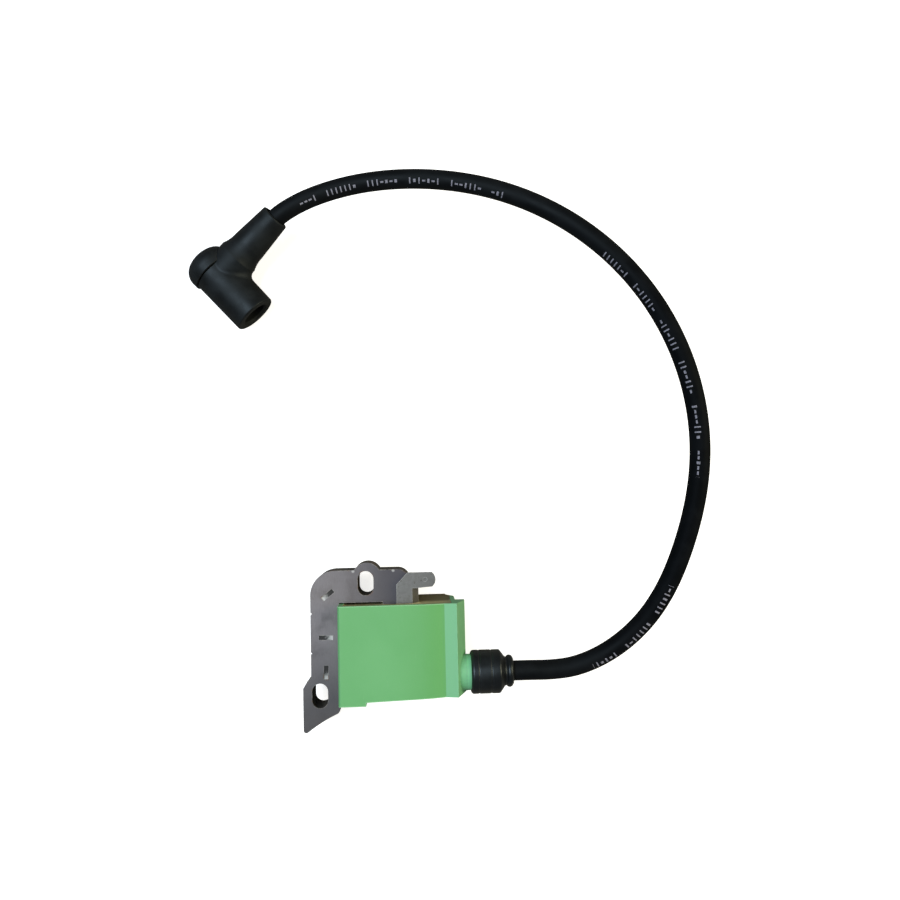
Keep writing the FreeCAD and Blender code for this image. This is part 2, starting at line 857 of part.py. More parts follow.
def along_curve(curve, steps):
    """Evenly spaced stations on a curve that never runs straight up."""
    stations = []
    for index in range(steps + 1):
        share = index / steps
        position = curve.FirstParameter + (curve.LastParameter - curve.FirstParameter) * share
        heading = curve.tangentAt(position).normalize()
        across = FreeCAD.Vector(0, 0, 1).cross(heading).normalize()
        stations.append((curve.valueAt(position), heading, across))
    return stations


def smooth_edge(points, first=None, last=None):
    curve = Part.BSplineCurve()
    if first is None:
        curve.interpolate(Points=points)
    else:
        curve.interpolate(Points=points, InitialTangent=first, FinalTangent=last, Scale=False)
    return curve.toShape()


def solid_feature(name, shape):
    part = doc.addObject("Part::Feature", name)
    part.Shape = shape
    return part


def make_wires():
    """Hook-up wires in the potting, and the strap that earths the board on the core."""
    face = size("board_x") + size("board_thickness")
    wire_radius = size("hookup_radius")
    over = size("primary_top") + size("hookup_rise")
    landing = size("primary_top") + 0.25
    routes = []
    for z in (2.0, 9.5):
        routes.append([(face + 0.6, -13.0, z), (face + 1.4, over, z),
                       (2.0, over + 0.3, z), (4.4, landing, z)])
    blade_z = size("blade_z") + size("blade_thickness") / 2
    routes.append([(face + 0.6, -12.6, 15.6), (face + 1.8, over, 15.8), (3.0, over + 0.4, 15.4),
                   (size("stem_left") - size("hookup_gap"), over, blade_z)])
    wires = []
    for route in routes:
        points = [FreeCAD.Vector(*point) for point in route]
        wires.append(round_bar(along_curve(smooth_edge(points), 12), wire_radius))
    keep(solid_feature("hookup_wires", Part.makeCompound(wires)))

    top = "primary_top + 2 * strap_thickness"
    ledge = span_box("ground_strap_ledge", BOARD_FACE, "leg_left",
                     "primary_top + strap_thickness", top, "strap_back", "strap_front")
    tail = span_box("ground_strap_tail", BOARD_FACE, BOARD_FACE + " + strap_thickness",
                    "board_top - strap_overlap", top, "strap_back", "strap_front")
    keep(fuse("core_ground_strap", [ledge, tail]))


# ---------------------------------------------------------------- kill switch terminal

def make_kill_terminal():
    """Blade in front of the yoke on a stem that rises from the potting with a folded edge."""
    body = make_body("kill_switch_terminal")
    section = make_sketch(body, "XZ_Plane", "kill_stem_section", "-stem_knee_y")
    draw_loop(section, [
        ("stem_left", "blade_z"),
        ("stem_right - fold_inset", "blade_z"),
        ("stem_right + fold_reach", "blade_z - fold_drop"),
        ("stem_right + fold_reach + 0.7", "blade_z - fold_drop + 0.4"),
        ("stem_right + 0.2", "blade_z + blade_thickness"),
        ("stem_left", "blade_z + blade_thickness"),
    ])
    pad(body, section, "stem_knee_y - blade_foot_y")
    blade = make_sketch(body, "XY_Plane", "kill_blade", "blade_z")
    draw_loop(blade, [
        ("stem_left", "stem_knee_y"),
        ("stem_left", "stem_knee_y + 1.4"),
        ("stem_left + 3.9", "blade_top"),
        ("blade_tip_x - 1.3", "blade_top", "blade_round", "right"),
        ("blade_tip_x - 1.3", "blade_top - blade_width"),
        ("stem_right + fold_reach + 0.4", "stem_knee_y"),
    ])
    pad(body, blade, "blade_thickness")
    dimple = make_sketch(body, "XY_Plane", "kill_dimple", "blade_z + blade_thickness")
    draw_circle(dimple, "blade_tip_x - dimple_inset", "blade_top - blade_width / 2",
                "dimple_radius")
    pocket(body, dimple, "blade_thickness / 2")
    return keep(body)


# ---------------------------------------------------------------- high-tension lead

def plug_placement():
    """Frame of the plug boot: tube along X and level, sleeve along Y and rising."""
    about_z = FreeCAD.Rotation(FreeCAD.Vector(0, 0, 1), size("plug_heading"))
    about_x = FreeCAD.Rotation(FreeCAD.Vector(1, 0, 0), size("plug_roll"))
    corner = FreeCAD.Vector(size("plug_x"), size("plug_y"), size("plug_z"))
    return FreeCAD.Placement(corner, about_z.multiply(about_x))


def loop_point(degrees):
    """Point of the lead's loop at a polar angle; the loop arches up between its ends."""
    angle = math.radians(degrees)
    past_peak = degrees - size("loop_peak_angle")
    reach = size("loop_fall_angle") if past_peak > 0 else size("loop_rise_angle")
    arch = math.cos(math.radians(90 * past_peak / reach)) ** 2
    x = size("loop_x") + size("loop_radius") * math.cos(angle)
    y = size("loop_y") + size("loop_radius") * math.sin(angle)
    z = size("loop_low_z") + (size("loop_peak_z") - size("loop_low_z")) * arch
    return FreeCAD.Vector(x, y, z)


def lead_stations():
    """Stations of the lead: straight in the tower, the loop, straight in the plug sleeve."""
    frame = plug_placement()
    along = frame.Rotation.multVec(FreeCAD.Vector(0, -1, 0))
    start = FreeCAD.Vector(size("lead_start_x"), size("tower_y"), size("tower_z"))
    bend = FreeCAD.Vector(size("bend_start_x"), size("tower_y"), size("tower_z"))
    entry = frame.multVec(FreeCAD.Vector(0, size("sleeve_straight_y"), 0))
    end = frame.multVec(FreeCAD.Vector(0, size("lead_end_y"), 0))
    steps = int(size("loop_steps"))
    first = size("loop_first_angle")
    stride = (size("loop_last_angle") - first) / (steps - 1)
    knots = [loop_point(first + stride * index) for index in range(steps)]
    curve = smooth_edge([bend] + knots + [entry], FreeCAD.Vector(1, 0, 0), along)
    middle = along_curve(curve, int(size("lead_sections")))
    return [(start,) + middle[0][1:]] + middle + [(end,) + middle[-1][1:]]


def strand_stations(side, lift):
    """Stations of one strand, which stops short of the two points that pierce the lead."""
    stations = []
    for point, heading, across in lead_stations():
        above = heading.cross(across)
        stations.append((point + across * side + above * lift, heading, across))
    start, heading, across = stations[0]
    stations[0] = (start + heading * (size("pin_tip_x") + 0.1 - size("lead_start_x")),
                   heading, across)
    end, heading, across = stations[-1]
    stations[-1] = (end - heading * size("spike_reach"), heading, across)
    return stations


def make_lead(pin, spring):
    stations = lead_stations()
    jacket = round_bar(stations, size("lead_radius"))
    inside = round_bar(stations, size("insulation_radius"))
    bore = round_bar(stations, size("core_bore_radius"))
    keep(solid_feature("lead_jacket", jacket.cut(inside)))
    insulation = inside.cut(bore)
    for contact in (pin, spring):
        insulation = insulation.cut(contact.Shape)
    keep(solid_feature("lead_insulation", insulation))

    strands = [round_bar(strand_stations(0, 0), size("strand_radius"))]
    for index in range(6):
        angle = math.radians(60 * index)
        side = size("strand_pitch") * math.cos(angle)
        lift = size("strand_pitch") * math.sin(angle)
        strands.append(round_bar(strand_stations(side, lift), size("strand_radius")))
    keep(solid_feature("lead_conductor", Part.makeCompound(strands)))


# ---------------------------------------------------------------- high-tension contact

def make_contact():
    """Pointed screw that pierces the end of the lead, and the wire from the winding."""
    x = "pin_head_x"
    tip_length = "pin_tip_length"
    head = cylinder("ht_contact_head", x, "tower_y", "tower_z", "x", "pin_head_radius", "1")
    shank_length = "pin_tip_x - pin_head_x - " + tip_length
    shank = cylinder("ht_contact_shank", x, "tower_y", "tower_z", "x", "pin_radius", shank_length)
    point = cone("ht_contact_point", "pin_tip_x - " + tip_length, "tower_y", "tower_z", "x",
                 "pin_radius", "0.1", tip_length)
    screw = keep(fuse("ht_contact_screw", [head, shank, point]))

    outside = size("leg_right") + size("secondary_wire_gap") + 0.2
    start = FreeCAD.Vector(outside, size("secondary_bottom") + 2.6, size("tower_z"))
    end = FreeCAD.Vector(size("pin_head_x") - 0.2, size("tower_y"), size("tower_z"))
    wire = Part.makeCylinder(size("secondary_lead_radius"), start.distanceToPoint(end), start, end - start)
    keep(solid_feature("secondary_lead_wire", wire))
    return screw


# ---------------------------------------------------------------- rubber parts

def make_tower_boot():
    """Turned rubber boot: barrel over the tower, neck and bead round the lead."""
    body = make_body("tower_boot")
    profile = make_sketch(body, "XY_Plane", "tower_boot_profile")
    groove = "0.25"
    draw_loop(profile, [
        ("boot_front_x", "tower_radius + boot_play"),
        ("boot_front_x", "boot_radius - 1.1", "1.1", "right"),
        ("boot_front_x + 1.1", "boot_radius"),
        ("boot_front_x + 2.5", "boot_radius", "0.6", "left"),
        ("boot_front_x + 3.3", "boot_radius"),
        ("boot_front_x + 6.9", "boot_radius", "0.6", "left"),
        ("boot_front_x + 7.7", "boot_radius"),
        ("boot_end_x - 5.2", "boot_radius", "1.0", "right"),
        ("boot_end_x - 4.5", "boot_radius - 0.5"),
        ("boot_end_x - 3.3", "boot_neck_radius + 0.5", "0.9", "left"),
        ("boot_end_x - 2.6", "boot_neck_radius"),
        ("boot_end_x - 2.4", "boot_neck_radius", "1.2", "right"),
        ("boot_end_x - 0.3", "boot_neck_radius", "1.0", "right"),
        ("boot_end_x", "boot_neck_radius - 0.7"),
        ("boot_end_x", "lead_radius + boot_play"),
        ("boot_step_x", "lead_radius + boot_play"),
        ("boot_step_x", "tower_radius + boot_play"),
    ])
    turn(body, "Revolution", profile, "H_Axis")
    place(body, "0", "tower_y", "tower_z")
    return keep(body)


def make_plug_boot():
    """Right-angle rubber boot: a tube over the plug and a tapered sleeve for the lead."""
    body = make_body("plug_boot")
    tube = make_sketch(body, "XY_Plane", "plug_tube")
    draw_loop(tube, [
        ("spigot_end_x", "0"),
        ("spigot_end_x", "spigot_radius"),
        ("tube_back_x", "spigot_radius"),
        ("tube_back_x", "tube_radius"),
        ("tube_mouth_x - 0.6", "tube_mouth_radius", "0.6", "right"),
        ("tube_mouth_x", "tube_mouth_radius - 0.6"),
        ("tube_mouth_x", "0"),
    ])
    turn(body, "Revolution", tube, "H_Axis")
    sleeve = make_sketch(body, "XY_Plane", "plug_sleeve")
    draw_loop(sleeve, [
        ("0", "0"),
        ("0", "sleeve_length"),
        ("sleeve_mouth_radius - 0.5", "sleeve_length", "0.5", "right"),
        ("sleeve_mouth_radius", "sleeve_length - 0.5"),
        ("sleeve_mouth_radius + 1.1", "sleeve_length - 14.5", "14", "left"),
        ("sleeve_root_radius", "tube_radius + 2.4"),
        ("sleeve_root_radius", "0"),
    ])
    turn(body, "Revolution", sleeve, "V_Axis")
    socket = make_sketch(body, "XY_Plane", "plug_socket")
    draw_loop(socket, [
        ("spigot_end_x - 1", "0"),
        ("spigot_end_x - 1", "access_radius"),
        ("socket_end_x", "access_radius"),
        ("socket_end_x", "socket_radius"),
        ("tube_mouth_x - 0.8", "socket_radius"),
        ("tube_mouth_x", "socket_radius + 0.8"),
        ("tube_mouth_x + 1", "socket_radius + 0.8"),
        ("tube_mouth_x + 1", "0"),
    ])
    turn(body, "Groove", socket, "H_Axis")
    bore = make_sketch(body, "XY_Plane", "plug_lead_bore")
    draw_loop(bore, [
        ("0", "0"),
        ("0", "sleeve_length + 1"),
        ("sleeve_flare_radius", "sleeve_length + 1"),
        ("sleeve_flare_radius", "sleeve_length"),
        ("lead_radius + boot_play", "sleeve_straight_y - 1"),
        ("lead_radius + boot_play", "0"),
    ])
    bored = turn(body, "Groove", bore, "V_Axis")
    blend = body.newObject("PartDesign::Fillet", "plug_crotch_fillet")
    blend.Base = (bored, crotch_seams(bored.Shape))
    bind(blend, "Radius", "crotch_radius")
    body.Tip = blend
    body.Placement = plug_placement()
    return keep(body)


def crotch_seams(shape):
    """Names of the seams between sleeve and tube that meet in the crotch of the elbow."""
    crotch = FreeCAD.Vector(size("sleeve_root_radius"), size("tube_radius"), 0)
    names = []
    for index, edge in enumerate(shape.Edges, start=1):
        gap = min(corner.Point.distanceToPoint(crotch) for corner in edge.Vertexes)
        if isinstance(edge.Curve, Part.BSplineCurve) and gap < size("crotch_radius"):
            names.append("Edge%d" % index)
    if len(names) != 2:
        raise RuntimeError("the crotch of the plug boot has %d seams" % len(names))
    return names


def make_plug_cap():
    """Domed rubber cap pushed over the spigot, cut away round the root of the sleeve."""
    body = make_body("plug_boot_cap")
    dome = make_sketch(body, "XY_Plane", "plug_cap_profile")
    draw_loop(dome, [
        ("cap_front_x", "spigot_radius + cap_play"),
        ("cap_end_x + 4.0", "spigot_radius + cap_play"),
        ("cap_end_x + 4.0", "0"),
        ("cap_end_x", "0", "14", "right"),
        ("cap_end_x + 1.5", "cap_radius - 3.0", "5.4", "right"),
        ("cap_front_x - 1.5", "cap_radius"),
        ("cap_front_x - 0.3", "cap_radius", "0.3", "right"),
        ("cap_front_x", "cap_radius - 0.3"),
    ])
    turn(body, "Revolution", dome, "H_Axis")
    notch = make_sketch(body, "XY_Plane", "plug_cap_notch")
    draw_loop(notch, [
        ("0", "-0.2"),
        ("0", "cap_radius + 1"),
        ("sleeve_root_radius + 0.15", "cap_radius + 1"),
        ("sleeve_root_radius + 0.15", "-0.2"),
    ])
    turn(body, "Groove", notch, "V_Axis")
    body.Placement = plug_placement()
    return keep(body)


def make_contact_spring():
    """Wire spring that grips the plug terminal, with a spike that pierces the lead."""
    radius = size("spring_radius")
    wire = size("spring_wire_radius")
    bead = size("spring_bead_radius")
    start = size("spring_start_x")
    length = size("spring_end_x") - start
    helix = Part.Wire(Part.makeLongHelix(length / size("spring_turns"), length, radius))
    heading = helix.Edges[0].tangentAt(helix.Edges[0].FirstParameter)
    ring = Part.Wire([Part.makeCircle(wire, FreeCAD.Vector(radius, 0, 0), heading)])
    shape = helix.makePipeShell([ring], True, True)
    lay_down = FreeCAD.Rotation(FreeCAD.Vector(1, 1, 1), 120)
    shape.Placement = FreeCAD.Placement(FreeCAD.Vector(start, 0, 0), lay_down)
    along_x = FreeCAD.Vector(1, 0, 0)
    along_y = FreeCAD.Vector(0, 1, 0)
    knee = FreeCAD.Vector(0, radius, 0)
    spike_length = size("spike_length")
    for piece in (
        Part.makeSphere(bead, knee + along_x * start),
        Part.makeCylinder(wire, start, knee, along_x),
        Part.makeSphere(bead, knee),
        Part.makeCylinder(wire, spike_length, knee, along_y),
        Part.makeCone(wire, 0.1, 1.0, knee + along_y * spike_length, along_y),
    ):
        shape = shape.fuse(piece)
    part = solid_feature("plug_contact_spring", shape)
    part.Placement = plug_placement()
    return keep(part)


# ---------------------------------------------------------------- potting compound

def make_potting():
    """Resin that fills the housing round everything in it, up to just below the rim."""
    fill = make_body("potting_fill")
    level = make_sketch(fill, "XZ_Plane", "potting_level_outline", "-potting_level")
    draw_loop(level, cavity_outline())
    pad(fill, level, "potting_level - housing_bottom - housing_wall")
    leg = span_box("potting_leg", "leg_left", "leg_right", "primary_top", "potting_level",
                   "0", "lamination_thickness * lamination_count")
    hollow = span_box("potting_leg_hollow", "leg_left - leg_play", "leg_right + leg_play",
                      "housing_bottom", "primary_top", "-leg_play",
                      "lamination_thickness * lamination_count + leg_play")
    lead_bore = cylinder("potting_lead_bore", "lead_start_x - 0.3", "tower_y", "tower_z", "x",
                         "lead_radius + 0.05", "5")
    doc.recompute()
    shape = fill.Shape
    buried = [part for part in sub_parts if part.Name in BURIED]
    for part in [leg, hollow, lead_bore] + buried:
        shape = shape.cut(part.Shape)
    solids = sorted(shape.Solids, key=lambda solid: solid.Volume)
    return keep(solid_feature("potting_compound", solids[-1]))


BURIED = (
    "primary_bobbin", "primary_winding", "secondary_bobbin", "secondary_winding",
    "circuit_board", "power_transistor", "control_transistor", "film_capacitor", "resistors",
    "protection_diode", "hookup_wires", "core_ground_strap", "kill_switch_terminal",
    "ht_contact_screw", "secondary_lead_wire",
)


# ---------------------------------------------------------------- assembly and files

make_core()
make_housing()
make_primary()
make_secondary()
make_electronics()
make_wires()
make_kill_terminal()
contact_screw = make_contact()
make_tower_boot()
make_plug_boot()
make_plug_cap()
contact_spring = make_contact_spring()
doc.recompute()
make_lead(contact_screw, contact_spring)
make_potting()
doc.recompute()

for item in doc.Objects:
    if "Invalid" in item.State or "Error" in item.State:
        raise RuntimeError("%s failed: %s" % (item.Name, item.State))
for part in sub_parts:
    if part.Shape.isNull() or not part.Shape.isValid():
        raise RuntimeError("%s has no valid shape" % part.Name)

os.makedirs("parts", exist_ok=True)
for part in sub_parts:
    part.Label = part.Name
    part.Shape.exportStep("parts/%s.step" % part.Label)
    print("%-26s %3d solids %10.2f mm3" % (part.Label, len(part.Shape.Solids), part.Shape.Volume))
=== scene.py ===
"""Ignition coil of a small engine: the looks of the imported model, in metres, in the CAD frame."""
import json
import math

import bpy
import bmesh
from mathutils import Matrix, Vector, noise
from mathutils.bvhtree import BVHTree

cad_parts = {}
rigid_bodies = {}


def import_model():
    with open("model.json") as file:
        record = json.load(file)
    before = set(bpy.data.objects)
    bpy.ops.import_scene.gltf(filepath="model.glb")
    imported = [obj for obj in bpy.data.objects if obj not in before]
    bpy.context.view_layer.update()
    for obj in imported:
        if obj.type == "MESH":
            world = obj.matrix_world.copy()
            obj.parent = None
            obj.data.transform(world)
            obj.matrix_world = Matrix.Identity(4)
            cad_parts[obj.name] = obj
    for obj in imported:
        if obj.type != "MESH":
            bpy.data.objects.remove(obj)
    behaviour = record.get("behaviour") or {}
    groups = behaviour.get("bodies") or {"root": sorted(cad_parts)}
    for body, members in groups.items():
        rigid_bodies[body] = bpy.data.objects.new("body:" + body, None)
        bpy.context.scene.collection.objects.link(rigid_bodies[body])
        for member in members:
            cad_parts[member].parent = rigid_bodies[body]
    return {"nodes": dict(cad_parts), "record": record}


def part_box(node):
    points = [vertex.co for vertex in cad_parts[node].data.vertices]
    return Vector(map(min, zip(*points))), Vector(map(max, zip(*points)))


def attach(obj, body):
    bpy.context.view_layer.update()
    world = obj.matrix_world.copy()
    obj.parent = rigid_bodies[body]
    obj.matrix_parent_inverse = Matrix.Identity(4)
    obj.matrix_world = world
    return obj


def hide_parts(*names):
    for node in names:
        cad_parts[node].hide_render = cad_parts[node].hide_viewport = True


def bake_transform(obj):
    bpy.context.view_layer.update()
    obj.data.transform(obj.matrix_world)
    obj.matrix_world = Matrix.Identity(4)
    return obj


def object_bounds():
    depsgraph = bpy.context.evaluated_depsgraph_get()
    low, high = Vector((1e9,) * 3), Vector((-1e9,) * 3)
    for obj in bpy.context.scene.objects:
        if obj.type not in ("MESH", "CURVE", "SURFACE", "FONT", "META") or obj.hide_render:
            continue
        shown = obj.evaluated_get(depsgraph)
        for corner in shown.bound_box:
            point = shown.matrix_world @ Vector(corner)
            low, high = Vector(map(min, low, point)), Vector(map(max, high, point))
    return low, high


for stray in list(bpy.data.objects):
    bpy.data.objects.remove(stray)

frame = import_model()
bpy.context.view_layer.update()
cad_low, cad_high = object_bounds()
nodes = frame["nodes"]
MM = 0.001


# ---------------------------------------------------------------- material building blocks

class Look:
    """A material under construction: every method adds one node and returns its output."""

    def __init__(self, name):
        self.material = bpy.data.materials.new(name)
        self.material.use_nodes = True
        self.tree = self.material.node_tree
        self.tree.nodes.clear()
        self.output = self.node("ShaderNodeOutputMaterial")
        self.surface = self.node("ShaderNodeBsdfPrincipled")
        self.join(self.surface.outputs[0], self.output.inputs["Surface"])
        self.where = self.node("ShaderNodeTexCoord").outputs["Object"]

    def node(self, kind, **settings):
        made = self.tree.nodes.new(kind)
        for key, setting in settings.items():
            setattr(made, key, setting)
        return made

    def join(self, source, target):
        if hasattr(source, "node"):
            self.tree.links.new(source, target)
        else:
            target.default_value = source

    def stretched(self, x, y, z):
        """Object coordinates scaled per axis, for grain that runs one way."""
        mapping = self.node("ShaderNodeMapping")
        self.join(self.where, mapping.inputs["Vector"])
        mapping.inputs["Scale"].default_value = (x, y, z)
        return mapping.outputs[0]

    def noise(self, per_metre, detail=3.0, roughness=0.55, where=None):
        made = self.node("ShaderNodeTexNoise")
        self.join(where if where is not None else self.where, made.inputs["Vector"])
        made.inputs["Scale"].default_value = per_metre
        made.inputs["Detail"].default_value = detail
        made.inputs["Roughness"].default_value = roughness
        return made.outputs["Fac"]

    def cells(self, per_metre, where=None):
        made = self.node("ShaderNodeTexVoronoi")
        self.join(where if where is not None else self.where, made.inputs["Vector"])
        made.inputs["Scale"].default_value = per_metre
        return made.outputs["Distance"]

    def fade(self, value, low, high, out_low=0.0, out_high=1.0):
        """Smoothly remaps low..high to out_low..out_high."""
        made = self.node("ShaderNodeMapRange", interpolation_type="SMOOTHSTEP")
        self.join(value, made.inputs["Value"])
        made.inputs["From Min"].default_value = low
        made.inputs["From Max"].default_value = high
        made.inputs["To Min"].default_value = out_low
        made.inputs["To Max"].default_value = out_high
        return made.outputs["Result"]

    def math(self, operation, first, second=0.0):
        made = self.node("ShaderNodeMath", operation=operation)
        self.join(first, made.inputs[0])
        self.join(second, made.inputs[1])
        return made.outputs[0]

    def mix(self, amount, first, second):
        """Colour mix: first at 0, second at 1."""
        made = self.node("ShaderNodeMix", data_type="RGBA")
        self.join(amount, made.inputs["Factor"])
        for value, target in ((first, made.inputs["A"]), (second, made.inputs["B"])):
            self.join(value if hasattr(value, "node") else tuple(value) + (1.0,), target)
        return made.outputs["Result"]

    def edges(self, width, low=0.004, high=0.05):
        """1 along sharp edges and 0 on open faces."""
        rounded = self.node("ShaderNodeBevel", samples=6)
        rounded.inputs["Radius"].default_value = width
        flat = self.node("ShaderNodeNewGeometry").outputs["Normal"]
        dot = self.node("ShaderNodeVectorMath", operation="DOT_PRODUCT")
        self.join(rounded.outputs[0], dot.inputs[0])
        self.join(flat, dot.inputs[1])
        return self.fade(self.math("SUBTRACT", 1.0, dot.outputs["Value"]), low, high)

    def along(self, axis):
        """One object coordinate, in metres."""
        split = self.node("ShaderNodeSeparateXYZ")
        self.join(self.where, split.inputs[0])
        return split.outputs[axis]

    def bump(self, height, distance, strength=1.0, under=None):
        made = self.node("ShaderNodeBump")
        made.inputs["Strength"].default_value = strength
        made.inputs["Distance"].default_value = distance
        self.join(height, made.inputs["Height"])
        if under is not None:
            self.join(under, made.inputs["Normal"])
        return made.outputs[0]

    def finish(self, colour, roughness, normal=None, **more):
        self.join(colour if hasattr(colour, "node") else tuple(colour) + (1.0,),
                  self.surface.inputs["Base Color"])
        self.join(roughness, self.surface.inputs["Roughness"])
        if normal is not None:
            self.join(normal, self.surface.inputs["Normal"])
        for key, setting in more.items():
            self.join(setting, self.surface.inputs[key.replace("_", " ")])
        return self.material


# ---------------------------------------------------------------- materials of the core

CORE_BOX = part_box("core_front_lamination")
LAMINATION_PITCH = 0.5 * MM
# painted shade: the front plate's reflection darkens from X to X towards the terminal, and from Y to
# Y towards the foot
REFLECTION_SHADE_X = (-14.0 * MM, 11.0 * MM)
REFLECTION_SHADE_Y = (-12.0 * MM, -50.0 * MM)
# bright scuffs on the upper rim of the core, one on each side of the ear
SCUFFS_X = (-4.4 * MM, 9.9 * MM)
SCUFF_Y = CORE_BOX[1].y - 2.95 * MM
# lanced tabs: centre X and Y, and the direction towards the shallow end in degrees
LANCES = (
    (CORE_BOX[0].x + 9.1 * MM, CORE_BOX[1].y - 11.1 * MM, 219.0),
    (CORE_BOX[0].x + 8.3 * MM, -18.8 * MM, -2.0),
    (CORE_BOX[0].x + 8.2 * MM, -31.0 * MM, -92.0),
)
LANCE_LENGTH = 4.4 * MM
LANCE_WIDTH = 1.3 * MM
LANCE_SHALLOWEST = 0.06 * MM


def lamination_steel():
    """Rolled electrical steel: cool grey, faint rolling lines, warm oxide on cut edges."""
    look = Look("lamination_steel")
    grain = look.noise(9000.0, 4.0, 0.6, look.stretched(1.0, 0.06, 1.0))
    mottle = look.noise(140.0, 5.0, 0.6)
    broad = look.noise(22.0, 2.0, 0.5)
    base = look.mix(look.fade(broad, 0.35, 0.65), (0.168, 0.152, 0.156), (0.212, 0.190, 0.194))
    base = look.mix(look.fade(mottle, 0.50, 0.72, 0.0, 0.55), base, (0.134, 0.122, 0.126))
    base = look.mix(look.fade(grain, 0.45, 0.75, 0.0, 0.35), base, (0.26, 0.24, 0.245))
    # painted shade: the plate's reflection dims towards the terminal and towards the foot
    terminal_shade = look.fade(look.along("X"), *REFLECTION_SHADE_X, 0.0, 0.85)
    base = look.mix(terminal_shade, base, (0.064, 0.060, 0.072))
    down = look.math("MULTIPLY", look.along("Y"), -1.0)
    foot_shade = look.fade(down, -REFLECTION_SHADE_Y[0], -REFLECTION_SHADE_Y[1], 0.0, 0.75)
    base = look.mix(foot_shade, base, (0.075, 0.073, 0.078))
    # pale edges: rubbed steel together with a painted edge highlight
    worn = look.math("MULTIPLY", look.edges(0.35 * MM), look.fade(look.noise(700.0), 0.35, 0.7))
    base = look.mix(look.math("MULTIPLY", worn, 0.8), base, (0.44, 0.41, 0.36))
    rust = look.math("MULTIPLY", look.edges(0.7 * MM), look.fade(look.noise(260.0, 4.0), 0.56, 0.66))
    base = look.mix(look.math("MULTIPLY", rust, 0.7), base, (0.16, 0.075, 0.03))
    base = add_scuffs(look, base)
    base = paint_lance_shading(look, base)
    rough = look.fade(mottle, 0.3, 0.7, 0.38, 0.56)
    normal = look.bump(grain, 0.02 * MM, 0.5)
    normal = look.bump(mottle, 0.06 * MM, 0.35, normal)
    return look.finish(base, rough, normal, Metallic=0.55)


def add_scuffs(look, base):
    """Small bright patches where the rim of the core was rubbed."""
    x, y = look.along("X"), look.along("Y")
    for scuff_x in SCUFFS_X:
        off_x = look.math("SUBTRACT", x, scuff_x)
        off_y = look.math("SUBTRACT", y, SCUFF_Y)
        away = look.math("SQRT", look.math("ADD", look.math("MULTIPLY", off_x, off_x),
                                           look.math("MULTIPLY", off_y, off_y)))
        patch = look.fade(away, 0.25 * MM, 0.75 * MM, 0.7, 0.0)
        base = look.mix(patch, base, (0.50, 0.49, 0.48))
    return base


def paint_lance_shading(look, base):
    """Paints a shadow into the deep end of each lanced tab and a highlight on its shallow end."""
    x, y, z = look.along("X"), look.along("Y"), look.along("Z")
    sunk = look.math("LESS_THAN", z, CORE_BOX[1].z - LANCE_SHALLOWEST)
    for centre_x, centre_y, degrees in LANCES:
        cosine, sine = math.cos(math.radians(degrees)), math.sin(math.radians(degrees))
        off_x = look.math("SUBTRACT", x, centre_x)
        off_y = look.math("SUBTRACT", y, centre_y)
        reach = look.math("ADD", look.math("MULTIPLY", off_x, cosine),
                          look.math("MULTIPLY", off_y, sine))
        side = look.math("SUBTRACT", look.math("MULTIPLY", off_y, cosine),
                         look.math("MULTIPLY", off_x, sine))
        near = look.math("MULTIPLY",
                         look.math("LESS_THAN", look.math("ABSOLUTE", reach), LANCE_LENGTH * 0.55),
                         look.math("LESS_THAN", look.math("ABSOLUTE", side), LANCE_WIDTH * 0.6))
        inside = look.math("MULTIPLY", near, sunk)
        torn = look.math("MULTIPLY", look.math("SUBTRACT", look.noise(1300.0, 3.0), 0.5), 3.0 * MM)
        # painted shadow at the deep end, painted highlight at the shallow end
        shade = look.mix(look.fade(look.math("ADD", reach, torn),
                                   -0.15 * LANCE_LENGTH, 0.55 * LANCE_LENGTH),
                         (0.030, 0.028, 0.026), (0.50, 0.49, 0.47))
        base = look.mix(inside, base, shade)
    return base


def lamination_stack():
    """The stack seen from its side: thin lines between plates and a dull oxide."""
    look = Look("lamination_stack")
    height = look.along("Z")
    wave = look.math("SINE", look.math("MULTIPLY", height, 2 * math.pi / LAMINATION_PITCH))
    mottle = look.noise(300.0, 4.0)
    base = look.mix(look.fade(mottle, 0.35, 0.7), (0.095, 0.090, 0.085), (0.17, 0.155, 0.135))
    base = look.mix(look.fade(wave, 0.3, 1.0, 0.0, 0.85), base, (0.022, 0.020, 0.019))
    rust = look.fade(look.noise(180.0, 5.0), 0.55, 0.68, 0.0, 0.6)
    base = look.mix(rust, base, (0.14, 0.075, 0.035))
    normal = look.bump(wave, 0.05 * MM, 0.6)
    normal = look.bump(mottle, 0.1 * MM, 0.3, normal)
    return look.finish(base, 0.55, normal, Metallic=0.45)


# ---------------------------------------------------------------- materials of the housing

# where the painted shade of the curving front face begins, where the face breaks into its tilted
# strip (painted lighter, as lit), and where the wedge ends and the tower starts (painted lighter
# still)
CURVE_SHADE_X = 6.0 * MM
CREASE_X = 27.7 * MM
WEDGE_X = 35.4 * MM
# painted shade: the resin darkens towards the back of the housing, from Z to Z
RESIN_SHADE_Z = (2.0 * MM, 9.0 * MM)


